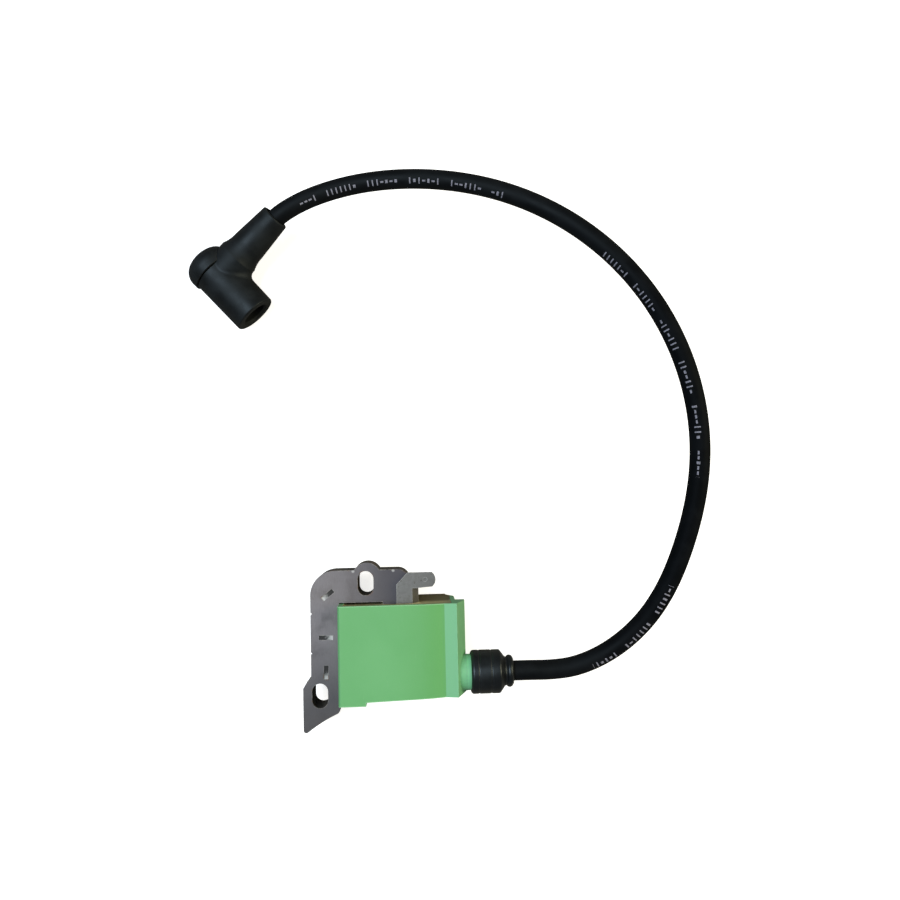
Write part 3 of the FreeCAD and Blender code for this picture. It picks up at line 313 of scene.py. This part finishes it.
def housing_plastic():
    """Moulded green nylon: satin, fine spark-eroded texture, a painted highlight on its edges."""
    look = Look("housing_plastic")
    fine = look.noise(5200.0, 3.0, 0.65)
    flow = look.noise(38.0, 3.0, 0.5)
    base = look.mix(look.fade(flow, 0.3, 0.7), (0.150, 0.470, 0.172), (0.172, 0.505, 0.196))
    base = look.mix(look.fade(fine, 0.5, 0.8, 0.0, 0.10), base, (0.30, 0.62, 0.32))
    scuff = look.fade(look.noise(420.0, 6.0, 0.7, look.stretched(1.0, 0.25, 1.0)), 0.63, 0.74)
    base = look.mix(look.math("MULTIPLY", scuff, 0.12), base, (0.42, 0.68, 0.42))
    across = look.along("X")
    # painted shade: the front face turns darker and yellower towards the crease as it curves away
    # from the light
    base = look.mix(look.fade(across, CURVE_SHADE_X, CREASE_X, 0.0, 0.9), base, (0.140, 0.440, 0.140))
    # painted light: the tilted strip past the crease is lighter and bluer
    past = look.fade(across, CREASE_X - 0.05 * MM, CREASE_X + 0.05 * MM)
    base = look.mix(past, base, (0.205, 0.550, 0.290))
    # painted light: the tower is lighter and bluer still
    tower = look.fade(across, WEDGE_X - 0.2 * MM, WEDGE_X + 0.2 * MM)
    base = look.mix(tower, base, (0.245, 0.660, 0.345))
    # painted highlight along the rounded edges, faint past the crease
    rim = look.math("MULTIPLY", look.edges(0.6 * MM), look.fade(past, 0.0, 1.0, 0.8, 0.15))
    base = look.mix(rim, base, (0.40, 0.74, 0.43))
    rough = look.fade(look.noise(900.0, 4.0), 0.3, 0.7, 0.42, 0.55)
    normal = look.bump(fine, 0.03 * MM, 0.45)
    normal = look.bump(flow, 0.4 * MM, 0.25, normal)
    return look.finish(base, rough, normal, Specular_IOR_Level=0.42,
                       Subsurface_Weight=0.06, Subsurface_Scale=0.6,
                       Subsurface_Radius=(1.0 * MM, 2.0 * MM, 1.0 * MM))


def potting_resin():
    """Cast epoxy: dull olive brown with shrink dimples, dust and small bubbles."""
    look = Look("potting_resin")
    broad = look.noise(90.0, 4.0, 0.55)
    small = look.cells(1500.0)
    base = look.mix(look.fade(broad, 0.35, 0.65), (0.42, 0.385, 0.20), (0.58, 0.535, 0.31))
    base = look.mix(look.fade(small, 0.0, 0.16, 0.5, 0.0), base, (0.03, 0.026, 0.016))
    dust = look.fade(look.noise(2200.0, 4.0), 0.60, 0.72, 0.0, 0.35)
    base = look.mix(dust, base, (0.27, 0.25, 0.18))
    # painted shade: darker towards the back
    shade = look.fade(look.along("Z"), *RESIN_SHADE_Z, 0.85, 0.0)
    base = look.mix(shade, base, (0.120, 0.108, 0.060))
    rough = look.fade(broad, 0.3, 0.7, 0.55, 0.75)
    normal = look.bump(look.noise(240.0, 3.0), 0.6 * MM, 0.5)
    normal = look.bump(small, 0.1 * MM, 0.3, normal)
    return look.finish(base, rough, normal, Specular_IOR_Level=0.15)


def terminal_plate():
    """Tinned steel strip: satin grey, drawn lines, finger stains, and pale edges that are part
    rubbed and part painted highlight.
    """
    look = Look("terminal_plate")
    lines = look.noise(6500.0, 3.0, 0.5, look.stretched(0.08, 1.0, 1.0))
    stain = look.noise(320.0, 5.0, 0.65)
    base = look.mix(look.fade(stain, 0.35, 0.68), (0.225, 0.220, 0.212), (0.160, 0.156, 0.149))
    base = look.mix(look.fade(lines, 0.5, 0.8, 0.0, 0.3), base, (0.24, 0.24, 0.232))
    spot = look.fade(look.noise(1100.0, 5.0), 0.62, 0.68, 0.0, 0.6)
    base = look.mix(spot, base, (0.085, 0.072, 0.05))
    # pale edges: rubbed tin together with a painted edge highlight
    base = look.mix(look.math("MULTIPLY", look.edges(0.3 * MM), 0.8), base, (0.50, 0.49, 0.46))
    rough = look.fade(stain, 0.3, 0.7, 0.30, 0.48)
    normal = look.bump(lines, 0.015 * MM, 0.6)
    normal = look.bump(stain, 0.08 * MM, 0.3, normal)
    return look.finish(base, rough, normal, Metallic=0.75)


# ---------------------------------------------------------------- materials of the lead

def boot_rubber(name, gloss, rough_low, rough_high):
    """Moulded rubber: blue-black satin, bloom on the open faces, fine pitted skin."""
    look = Look(name)
    skin = look.noise(3800.0, 4.0, 0.65)
    bloom = look.noise(170.0, 5.0, 0.6)
    base = look.mix(look.fade(bloom, 0.35, 0.7), (0.0050, 0.0056, 0.0060), (0.0100, 0.0118, 0.0130))
    dust = look.fade(look.noise(5200.0, 2.0), 0.66, 0.78, 0.0, 0.35)
    base = look.mix(dust, base, (0.07, 0.075, 0.08))
    rim = look.math("MULTIPLY", look.edges(0.4 * MM), look.fade(look.noise(600.0), 0.35, 0.65))
    base = look.mix(look.math("MULTIPLY", rim, 0.35), base, (0.05, 0.05, 0.047))
    rough = look.fade(bloom, 0.3, 0.7, rough_low, rough_high)
    normal = look.bump(skin, 0.04 * MM, 0.5)
    normal = look.bump(bloom, 0.3 * MM, 0.25, normal)
    return look.finish(base, rough, normal, Specular_IOR_Level=gloss,
                       Specular_Tint=(0.76, 0.90, 1.0, 1.0))


# the texture coordinate runs this many units per metre along the lead, and 0 to 1 round it
UV_PER_METRE = 10.0
UV_TO_MM = 1000.0 / UV_PER_METRE
GIRTH_IN_MM = 22.0
# the jacket's gloss fades from X to X along the loop
MATT_X = (60.0 * MM, 112.0 * MM)
# stretches of the lead that carry ink ticks, in mm from the tower end
INKED = ((50.0, 90.0), (129.0, 218.0), (259.0, 338.0))
# the line of ticks winds slowly round the lead: from, to and sideways shift, all in mm
INK_DRIFT = ((50.0, 140.0, -3.4), (140.0, 218.0, -1.7), (218.0, 300.0, 1.5))
INK_SIDEWAYS = 1.8
TICK_PITCH = 1.75
TICKS_PER_GROUP = 9
TICKS_INKED = 7
# a tick's half width is a share of the pitch and its half height is in mm: tall or flat ticks
TICK_HALF_WIDTHS = (0.13, 0.34)
TICK_HALF_HEIGHTS = (1.1, 0.30)


def ink_ticks(look, uv):
    """1 where a plain tick is printed along the upper side of the lead."""
    split = look.node("ShaderNodeSeparateXYZ")
    look.join(uv, split.inputs[0])
    distance = look.math("MULTIPLY", split.outputs["X"], UV_TO_MM)
    across = look.math("MULTIPLY", look.math("SUBTRACT", split.outputs["Y"], 0.5), GIRTH_IN_MM)
    for start, end, shift in INK_DRIFT:
        across = look.math("SUBTRACT", across, look.fade(distance, start, end, 0.0, shift))
    across = look.math("SUBTRACT", across, INK_SIDEWAYS)
    place = look.math("DIVIDE", distance, TICK_PITCH)
    index = look.math("FLOOR", place)
    draw = look.node("ShaderNodeTexWhiteNoise", noise_dimensions="1D")
    look.join(index, draw.inputs["W"])
    chance = draw.outputs["Value"]
    off_centre = look.math("ABSOLUTE", look.math("SUBTRACT", look.math("FRACT", place), 0.5))
    half_width = look.fade(chance, 0.45, 0.75, *TICK_HALF_WIDTHS)
    half_height = look.fade(chance, 0.45, 0.75, *TICK_HALF_HEIGHTS)
    wide = look.math("LESS_THAN", off_centre, half_width)
    tall = look.math("LESS_THAN", look.math("ABSOLUTE", across), half_height)
    grouped = look.math("LESS_THAN", look.math("MODULO", index, TICKS_PER_GROUP),
                        TICKS_INKED - 0.5)
    inside = 0.0
    for start, end in INKED:
        past = look.math("GREATER_THAN", distance, start)
        before = look.math("LESS_THAN", distance, end)
        inside = look.math("ADD", inside, look.math("MULTIPLY", past, before))
    return look.math("MULTIPLY", look.math("MULTIPLY", wide, tall),
                     look.math("MULTIPLY", grouped, inside))


def lead_rubber():
    """Extruded lead jacket: matt black with draw lines and a line of pale ink ticks."""
    look = Look("lead_rubber")
    uv = look.node("ShaderNodeUVMap", uv_map="lead_uv").outputs[0]
    stretched = look.node("ShaderNodeMapping")
    look.join(uv, stretched.inputs["Vector"])
    stretched.inputs["Scale"].default_value = (0.05, 60.0, 1.0)
    draw = look.noise(9.0, 3.0, 0.6, stretched.outputs[0])
    skin = look.noise(4200.0, 3.0, 0.6)
    bloom = look.noise(120.0, 5.0, 0.6)
    base = look.mix(look.fade(bloom, 0.35, 0.7), (0.0032, 0.0038, 0.0048), (0.0060, 0.0072, 0.0088))
    base = look.mix(look.fade(skin, 0.6, 0.85, 0.0, 0.15), base, (0.03, 0.032, 0.035))
    ink = ink_ticks(look, uv)
    worn = look.fade(look.noise(2600.0, 3.0), 0.30, 0.52, 0.35, 0.9)
    base = look.mix(look.math("MULTIPLY", ink, worn), base, (0.32, 0.32, 0.39))
    rough = look.fade(bloom, 0.3, 0.7, 0.50, 0.64)
    normal = look.bump(draw, 0.05 * MM, 0.35)
    normal = look.bump(skin, 0.03 * MM, 0.4, normal)
    gloss = look.fade(look.along("X"), *MATT_X, 0.13, 0.03)
    return look.finish(base, rough, normal, Specular_IOR_Level=gloss,
                       Specular_Tint=(0.80, 0.92, 1.0, 1.0))


# ---------------------------------------------------------------- materials of the inner parts

WIRE_PITCH = 0.4 * MM


def plain_plastic(name, dark, light, rough_low, rough_high, scale=900.0, **more):
    """Small moulded or dipped parts: mottled colour, fine skin, pale edges."""
    look = Look(name)
    mottle = look.noise(scale, 4.0, 0.6)
    skin = look.noise(scale * 6.0, 3.0, 0.6)
    base = look.mix(look.fade(mottle, 0.3, 0.7), dark, light)
    pale = tuple(min(1.0, value * 1.6 + 0.05) for value in light)
    base = look.mix(look.math("MULTIPLY", look.edges(0.2 * MM), 0.35), base, pale)
    rough = look.fade(mottle, 0.3, 0.7, rough_low, rough_high)
    return look.finish(base, rough, look.bump(skin, 0.03 * MM, 0.4), **more)


def wound_copper():
    """Enamelled copper wire laid in turns."""
    look = Look("copper_wire")
    turns = look.math("SINE", look.math("MULTIPLY", look.along("Y"), 2 * math.pi / WIRE_PITCH))
    mottle = look.noise(500.0, 4.0)
    base = look.mix(look.fade(mottle, 0.3, 0.7), (0.33, 0.10, 0.035), (0.52, 0.19, 0.07))
    base = look.mix(look.fade(turns, -1.0, -0.4, 0.6, 0.0), base, (0.10, 0.03, 0.01))
    normal = look.bump(turns, 0.1 * MM, 0.8)
    return look.finish(base, 0.28, normal, Metallic=0.8)


def bright_metal(name, dark, light, roughness):
    """Drawn or plated metal: fine lines and a mottled shine."""
    look = Look(name)
    lines = look.noise(5000.0, 3.0, 0.5, look.stretched(1.0, 0.1, 1.0))
    mottle = look.noise(400.0, 4.0)
    base = look.mix(look.fade(mottle, 0.3, 0.7), dark, light)
    rough = look.fade(mottle, 0.3, 0.7, roughness, roughness + 0.15)
    return look.finish(base, rough, look.bump(lines, 0.02 * MM, 0.5), Metallic=0.95)


LOOKS = {
    "lamination_steel": lamination_steel(),
    "housing_plastic": housing_plastic(),
    "potting_resin": potting_resin(),
    "terminal_plate": terminal_plate(),
    "boot_rubber": boot_rubber("boot_rubber", 0.30, 0.46, 0.60),
    "lead_rubber": lead_rubber(),
    "copper_wire": wound_copper(),
    "bobbin_plastic": plain_plastic("bobbin_plastic", (0.60, 0.57, 0.48), (0.70, 0.68, 0.60),
                                    0.40, 0.55, 300.0, Subsurface_Weight=0.1,
                                    Subsurface_Scale=0.5,
                                    Subsurface_Radius=(1.0 * MM, 1.0 * MM, 1.0 * MM)),
    "board_laminate": plain_plastic("board_laminate", (0.03, 0.11, 0.05), (0.05, 0.17, 0.08),
                                    0.30, 0.40, 1500.0),
    "component_black": plain_plastic("component_black", (0.010, 0.010, 0.011),
                                     (0.022, 0.022, 0.023), 0.45, 0.60),
    "capacitor_resin": plain_plastic("capacitor_resin", (0.27, 0.055, 0.015),
                                     (0.38, 0.09, 0.03), 0.20, 0.32),
    "resistor_lacquer": plain_plastic("resistor_lacquer", (0.42, 0.30, 0.15),
                                      (0.55, 0.41, 0.23), 0.22, 0.35),
    "hookup_insulation": plain_plastic("hookup_insulation", (0.30, 0.02, 0.015),
                                       (0.42, 0.035, 0.025), 0.35, 0.45),
    "insulation_rubber": plain_plastic("insulation_rubber", (0.16, 0.16, 0.15),
                                       (0.24, 0.24, 0.22), 0.55, 0.70),
    "contact_brass": bright_metal("contact_brass", (0.42, 0.29, 0.09), (0.58, 0.42, 0.16), 0.22),
    "spring_steel": bright_metal("spring_steel", (0.33, 0.33, 0.32), (0.50, 0.50, 0.48), 0.22),
}
STACK = lamination_stack()
TOWER_RUBBER = boot_rubber("tower_boot_rubber", 0.50, 0.30, 0.42)


# ---------------------------------------------------------------- carried-over CAD nodes

SEAM_GAP = 0.002 * MM
SHARP_ANGLE = math.radians(35.0)


def refine(piece, radius, segments):
    """Rounds the sharp edges of a CAD node: its seams are closed first, then bevelled."""
    weld = piece.modifiers.new("close_seams", "WELD")
    weld.merge_threshold = SEAM_GAP
    bevel = piece.modifiers.new("round_edges", "BEVEL")
    bevel.width = radius
    bevel.segments = segments
    bevel.limit_method = "ANGLE"
    bevel.angle_limit = SHARP_ANGLE
    bevel.use_clamp_overlap = True
    shade = piece.modifiers.new("face_weights", "WEIGHTED_NORMAL")
    shade.keep_sharp = False
    shade.weight = 80


slots = {entry["node"]: entry["material_slot"] for entry in frame["record"]["subparts"]}
for node, piece in nodes.items():
    piece.data.materials.clear()
    piece.data.materials.append(LOOKS[slots[node]])
nodes["core_inner_laminations"].data.materials[0] = STACK
nodes["tower_boot"].data.materials[0] = TOWER_RUBBER

refine(nodes["housing"], 0.30 * MM, 3)


# ---------------------------------------------------------------- mesh helpers

def new_piece(name, mesh, slot):
    """Turns a finished bmesh into a smooth object with the look of its material slot."""
    bmesh.ops.recalc_face_normals(mesh, faces=mesh.faces)
    data = bpy.data.meshes.new(name)
    mesh.to_mesh(data)
    mesh.free()
    piece = bpy.data.objects.new(name, data)
    bpy.context.scene.collection.objects.link(piece)
    data.materials.append(LOOKS[slot])
    for face in data.polygons:
        face.use_smooth = True
    return piece


def connected_groups(points, cell_size):
    """Points gathered into groups whose neighbours lie closer than about a cell."""
    cells = {}
    for point in points:
        key = tuple(int(round(value / cell_size)) for value in point)
        cells.setdefault(key, []).append(point)
    around = [(x, y, z) for x in (-1, 0, 1) for y in (-1, 0, 1) for z in (-1, 0, 1)]
    waiting = set(cells)
    groups = []
    for seed in sorted(cells):
        if seed not in waiting:
            continue
        waiting.discard(seed)
        stack, members = [seed], []
        while stack:
            at = stack.pop()
            members += cells[at]
            for step in around:
                near = (at[0] + step[0], at[1] + step[1], at[2] + step[2])
                if near in waiting:
                    waiting.discard(near)
                    stack.append(near)
        groups.append(members)
    return groups


# ---------------------------------------------------------------- high-tension lead

LEAD_RADIUS = 3.5 * MM
INSULATION_RADIUS = 2.7 * MM
BORE_RADIUS = 0.7 * MM
JACKET_SIDES = 48
INSULATION_SIDES = 24
STRAND_RADIUS = 0.21 * MM
STRAND_PITCH = 0.44 * MM
STRAND_LAY = 24 * MM
STRAND_SIDES = 8
OUTER_STRANDS = 6
SECTION_GAP = 1.6 * MM
SECTION_SPACING = 8 * MM
STEPS_PER_SECTION = 8


def lead_centres():
    """Centres of the jacket's sections, in order from the tower to the plug boot."""
    vertices = [vertex.co.copy() for vertex in nodes["lead_jacket"].data.vertices]
    centres = []
    for ring in connected_groups(vertices, SECTION_GAP):
        low = [min(point[axis] for point in ring) for axis in range(3)]
        high = [max(point[axis] for point in ring) for axis in range(3)]
        centres.append((Vector(low) + Vector(high)) / 2)
    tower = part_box("tower_boot")
    towards = Vector((tower[0].x, (tower[0].y + tower[1].y) / 2, (tower[0].z + tower[1].z) / 2))
    path = [min(centres, key=lambda centre: (centre - towards).length)]
    centres.remove(path[0])
    while centres:
        following = min(centres, key=lambda centre: (centre - path[-1]).length)
        centres.remove(following)
        path.append(following)
    return path


def evenly_spaced(path, spacing):
    """Straight stretches between far-apart centres are divided, so all gaps are alike."""
    dense = [path[0]]
    for following in path[1:]:
        before = dense[-1]
        parts = max(1, round((following - before).length / spacing))
        dense += [before.lerp(following, (part + 1) / parts) for part in range(parts)]
    return dense


def smooth_path(path, per_gap):
    """Catmull-Rom curve through the path's points."""
    ends = [path[0] * 2 - path[1]] + path + [path[-1] * 2 - path[-2]]
    fine = []
    for index in range(1, len(ends) - 2):
        a, b, c, d = ends[index - 1:index + 3]
        for part in range(per_gap):
            t = part / per_gap
            fine.append(0.5 * (2 * b + (c - a) * t + (2 * a - 5 * b + 4 * c - d) * t * t
                               + (3 * b - a - 3 * c + d) * t * t * t))
    return fine + [path[-1]]


def path_frames(path):
    """For each point: the point, the direction up from the lead, the side, and the distance."""
    frames = []
    distance = 0.0
    for index, point in enumerate(path):
        before = path[max(0, index - 1)]
        after = path[min(len(path) - 1, index + 1)]
        heading = (after - before).normalized()
        up = (Vector((0, 0, 1)) - heading * heading.z).normalized()
        if index:
            distance += (point - path[index - 1]).length
        frames.append((point, up, heading.cross(up), distance))
    return frames


def add_rings(mesh, frames, radius, sides, turn=0.0, offset=0.0, lay=1.0):
    """Rings of vertices along the path; with an offset they wind round it like a strand."""
    rings = []
    for point, up, side, distance in frames:
        about = turn + 2 * math.pi * distance / lay
        centre = point + (up * math.cos(about) + side * math.sin(about)) * offset
        ring = []
        for step in range(sides):
            angle = 2 * math.pi * (step / sides - 0.5)
            ring.append(mesh.verts.new(
                centre + (up * math.cos(angle) + side * math.sin(angle)) * radius))
        rings.append(ring)
    return rings


def skin_rings(mesh, rings, frames, uv, outwards=True):
    """Faces between neighbouring rings, with texture coordinates along and round the lead."""
    sides = len(rings[0])
    for index in range(len(rings) - 1):
        for step in range(sides):
            after = (step + 1) % sides
            corners = [rings[index][step], rings[index][after],
                       rings[index + 1][after], rings[index + 1][step]]
            marks = [(frames[index][3], step), (frames[index][3], step + 1),
                     (frames[index + 1][3], step + 1), (frames[index + 1][3], step)]
            if outwards:
                corners.reverse()
                marks.reverse()
            face = mesh.faces.new(corners)
            for loop, (distance, step_at) in zip(face.loops, marks):
                loop[uv].uv = (distance * UV_PER_METRE, step_at / sides)


def lead_bar(name, frames, outer, inner, sides, slot):
    """One layer of the lead as a closed tube."""
    mesh = bmesh.new()
    uv = mesh.loops.layers.uv.new("lead_uv")
    outside = add_rings(mesh, frames, outer, sides)
    inside = add_rings(mesh, frames, inner, sides)
    skin_rings(mesh, outside, frames, uv)
    skin_rings(mesh, inside, frames, uv, outwards=False)
    for end, flip in ((0, False), (-1, True)):
        for step in range(sides):
            after = (step + 1) % sides
            corners = [outside[end][step], outside[end][after],
                       inside[end][after], inside[end][step]]
            mesh.faces.new(corners[::-1] if flip else corners)
    return new_piece(name, mesh, slot)


def lead_strands(name, frames, slot):
    """One strand in the middle and six laid round it."""
    mesh = bmesh.new()
    uv = mesh.loops.layers.uv.new("lead_uv")
    for strand in range(OUTER_STRANDS + 1):
        offset = STRAND_PITCH if strand else 0.0
        turn = strand * 2 * math.pi / OUTER_STRANDS
        rings = add_rings(mesh, frames, STRAND_RADIUS, STRAND_SIDES, turn, offset, STRAND_LAY)
        skin_rings(mesh, rings, frames, uv)
        mesh.faces.new(rings[0])
        mesh.faces.new(rings[-1][::-1])
    return new_piece(name, mesh, slot)


centres = evenly_spaced(lead_centres(), SECTION_SPACING)
lead_frames = path_frames(smooth_path(centres, STEPS_PER_SECTION))
jacket = lead_bar("lead_cable_jacket", lead_frames, LEAD_RADIUS, INSULATION_RADIUS,
                  JACKET_SIDES, "lead_rubber")
insulation = lead_bar("lead_cable_insulation", lead_frames, INSULATION_RADIUS, BORE_RADIUS,
                      INSULATION_SIDES, "insulation_rubber")
pin_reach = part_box("ht_contact_screw")[1].x - lead_frames[0][0].x
strand_frames = [entry for entry in lead_frames
                 if pin_reach < entry[3] < lead_frames[-1][3] - pin_reach]
strands = lead_strands("lead_cable_strands", strand_frames, "copper_wire")
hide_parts("lead_jacket")
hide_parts("lead_insulation")
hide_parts("lead_conductor")

for layer in (jacket, insulation, strands):
    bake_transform(layer)


# ---------------------------------------------------------------- potting surface

GRID_STEP = 0.3 * MM
SKIN_LIFT = 0.05 * MM
SKIN_DEPTH = 0.3 * MM
# the resin climbs by WALL_CLIMB at a wall, and sinks again within about CLIMB_WIDTH
WALL_CLIMB = 0.45 * MM
CLIMB_WIDTH = 0.6 * MM
RIPPLE = 0.05 * MM
RIPPLES_PER_METRE = 600
# at the back the resin rises in a dome: its start and run along Z and X, and its height
DOME_Z, DOME_RUN_Z = 4.0 * MM, 11.5 * MM
DOME_X, DOME_RUN_X = 14.0 * MM, 6.0 * MM
DOME_OVER_RIM = 0.40 * MM
# there it also covers the back wall: from the resin's left side, and short of both right sides
COVER_FROM = 24.0 * MM
COVER_SHORT_OF_RESIN = 1.5 * MM
COVER_SHORT_OF_HOUSING = 14.0 * MM


def dome_share(x, z):
    """0 on the level resin, 1 on top of the dome, with a smooth step between them."""
    towards_back = min(1.0, max(0.0, (DOME_Z - z) / DOME_RUN_Z))
    sideways = min(1.0, max(0.0, (x - DOME_X) / DOME_RUN_X))
    return (towards_back * sideways) ** 2 * (3 - 2 * towards_back * sideways)


def potting_grid():
    """Grid of surface points by column and row, and the grid places that carry resin."""
    low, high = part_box("potting_compound")
    shell_low, shell_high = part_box("housing")
    level = high.y
    rim = max(vertex.co.y for vertex in nodes["housing"].data.vertices)
    graph = bpy.context.evaluated_depsgraph_get()
    resin = BVHTree.FromObject(nodes["potting_compound"], graph)
    walls = [BVHTree.FromObject(nodes[name], graph)
             for name in ("housing", "core_inner_laminations", "kill_switch_terminal")]
    columns = int((high.x - low.x) / GRID_STEP) + 5
    rows = int((high.z - shell_low.z) / GRID_STEP) + 4
    down = Vector((0, -1, 0))
    cover_end = min(high.x - COVER_SHORT_OF_RESIN, shell_high.x - COVER_SHORT_OF_HOUSING)
    grid = {}
    inside = set()
    for column in range(columns):
        for row in range(rows):
            x = low.x - 2 * GRID_STEP + column * GRID_STEP
            z = shell_low.z + 0.2 * MM + row * GRID_STEP
            hit = resin.ray_cast(Vector((x, level + 1.0 * MM, z)), down, 1.5 * MM)[0]
            over_back = z < low.z + GRID_STEP and low.x + COVER_FROM < x < cover_end
            if hit is not None or over_back:
                inside.add((column, row))
            gap = min(tree.find_nearest(Vector((x, level, z)))[3] for tree in walls)
            height = level + SKIN_LIFT + WALL_CLIMB * math.exp(-gap / CLIMB_WIDTH)
            height += RIPPLE * noise.noise(Vector((x, 0.0, z)) * RIPPLES_PER_METRE)
            dome = dome_share(x, z)
            height = height * (1 - dome) + (rim + DOME_OVER_RIM) * dome
            grid[column, row] = (x, height, z)
    return grid, inside, (columns, rows), level - SKIN_DEPTH


def corners_of(column, row):
    """The four grid places round one cell, in order."""
    return ((column, row), (column + 1, row), (column + 1, row + 1), (column, row + 1))


def closed_sheet(grid, inside, size, floor_y):
    """Sheet with a top that follows the grid, a flat bottom and a wall round its outline."""
    mesh = bmesh.new()
    tops, bottoms = {}, {}
    cells = [(column, row) for column in range(size[0] - 1) for row in range(size[1] - 1)
             if any(corner in inside for corner in corners_of(column, row))]
    for cell in cells:
        for corner in corners_of(*cell):
            if corner not in tops:
                x, y, z = grid[corner]
                tops[corner] = mesh.verts.new((x, y, z))
                bottoms[corner] = mesh.verts.new((x, floor_y, z))
    edges = {}
    for cell in cells:
        loop = corners_of(*cell)
        mesh.faces.new([tops[corner] for corner in loop])
        mesh.faces.new([bottoms[corner] for corner in reversed(loop)])
        for first, second in zip(loop, loop[1:] + loop[:1]):
            key = tuple(sorted((first, second)))
            edges[key] = edges.get(key, 0) + 1
    for (first, second), count in edges.items():
        if count == 1:
            mesh.faces.new([tops[first], tops[second], bottoms[second], bottoms[first]])
    return mesh


# cast surface of the resin: it climbs the walls and covers the back wall's rim
skin = new_piece("potting_skin", closed_sheet(*potting_grid()), "potting_resin")
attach(skin, "coil")


# ---------------------------------------------------------------- floor, light and camera

FLOOR_GAP = 0.05 * MM
FLOOR_REACH = 3.0
FLOOR_GLOW = 0.74


def floor():
    """Pale paper under the part. It looks darker to everything but the camera."""
    low = cad_low.z - FLOOR_GAP
    mesh = bpy.data.meshes.new("floor")
    corners = [(x * FLOOR_REACH, y * FLOOR_REACH, low)
               for x, y in ((-1, -1), (1, -1), (1, 1), (-1, 1))]
    mesh.from_pydata(corners, [], [(0, 1, 2, 3)])
    plane = bpy.data.objects.new("floor", mesh)
    bpy.context.scene.collection.objects.link(plane)
    look = Look("floor_paper")
    tone = look.noise(12.0, 2.0)
    seen = look.node("ShaderNodeLightPath").outputs["Is Camera Ray"]
    pale = look.mix(look.fade(tone, 0.3, 0.7), (0.92, 0.92, 0.92), (0.95, 0.95, 0.95))
    base = look.mix(seen, (0.22, 0.21, 0.19), pale)
    glow = look.math("MULTIPLY", seen, FLOOR_GLOW)
    mesh.materials.append(look.finish(base, 0.9, look.bump(look.noise(1500.0), 0.02 * MM, 0.2),
                                      Specular_IOR_Level=0.0, Emission_Strength=glow,
                                      Emission_Color=(1.0, 1.0, 1.0, 1.0)))


def area_light(name, position, target, side, power, colour):
    """Square soft box that faces its target; lengths in metres, power in watts."""
    data = bpy.data.lights.new(name, "AREA")
    data.shape = "SQUARE"
    data.size = side
    data.energy = power
    data.color = colour
    lamp = bpy.data.objects.new(name, data)
    bpy.context.scene.collection.objects.link(lamp)
    lamp.location = position
    lamp.rotation_mode = "QUATERNION"
    lamp.rotation_quaternion = (Vector(target) - Vector(position)).to_track_quat("-Z", "Y")


def soft_surroundings(colour, strength):
    """Even light from all sides."""
    world = bpy.data.worlds.new("studio")
    world.use_nodes = True
    background = world.node_tree.nodes["Background"]
    background.inputs["Color"].default_value = colour + (1.0,)
    background.inputs["Strength"].default_value = strength
    bpy.context.scene.world = world


FOCAL_MM = 34.4
SENSOR_MM = 36.0
CLIP = (0.01, 20.0)


def camera(position, looking, top):
    """Camera from straight above, tipped by a few degrees as a hand-held one is."""
    data = bpy.data.cameras.new("camera")
    data.lens = FOCAL_MM
    data.sensor_width = SENSOR_MM
    data.clip_start, data.clip_end = CLIP
    eye = bpy.data.objects.new("camera", data)
    bpy.context.scene.collection.objects.link(eye)
    back = -Vector(looking).normalized()
    right = Vector(top).cross(back).normalized()
    upward = back.cross(right)
    turn = Matrix((right, upward, back)).transposed()
    eye.matrix_world = Matrix.Translation(position) @ turn.to_4x4()
    bpy.context.scene.camera = eye


floor()
soft_surroundings((0.92, 0.96, 1.0), 0.14)
area_light("key", (-0.36, 0.14, 0.86), (0.0, 0.0, 0.0), 0.5, 6.6, (0.84, 0.93, 1.0))
area_light("fill", (0.75, 0.12, 0.45), (0.02, -0.02, 0.0), 0.5, 4.8, (1.0, 0.86, 0.56))
camera((17.5 * MM, 29.3 * MM, 322.5 * MM), (0.0442, 0.0570, -0.9974), (0.0227, 0.9997, 0.0))
bpy.context.scene.view_settings.view_transform = "Standard"

bpy.context.view_layer.update()
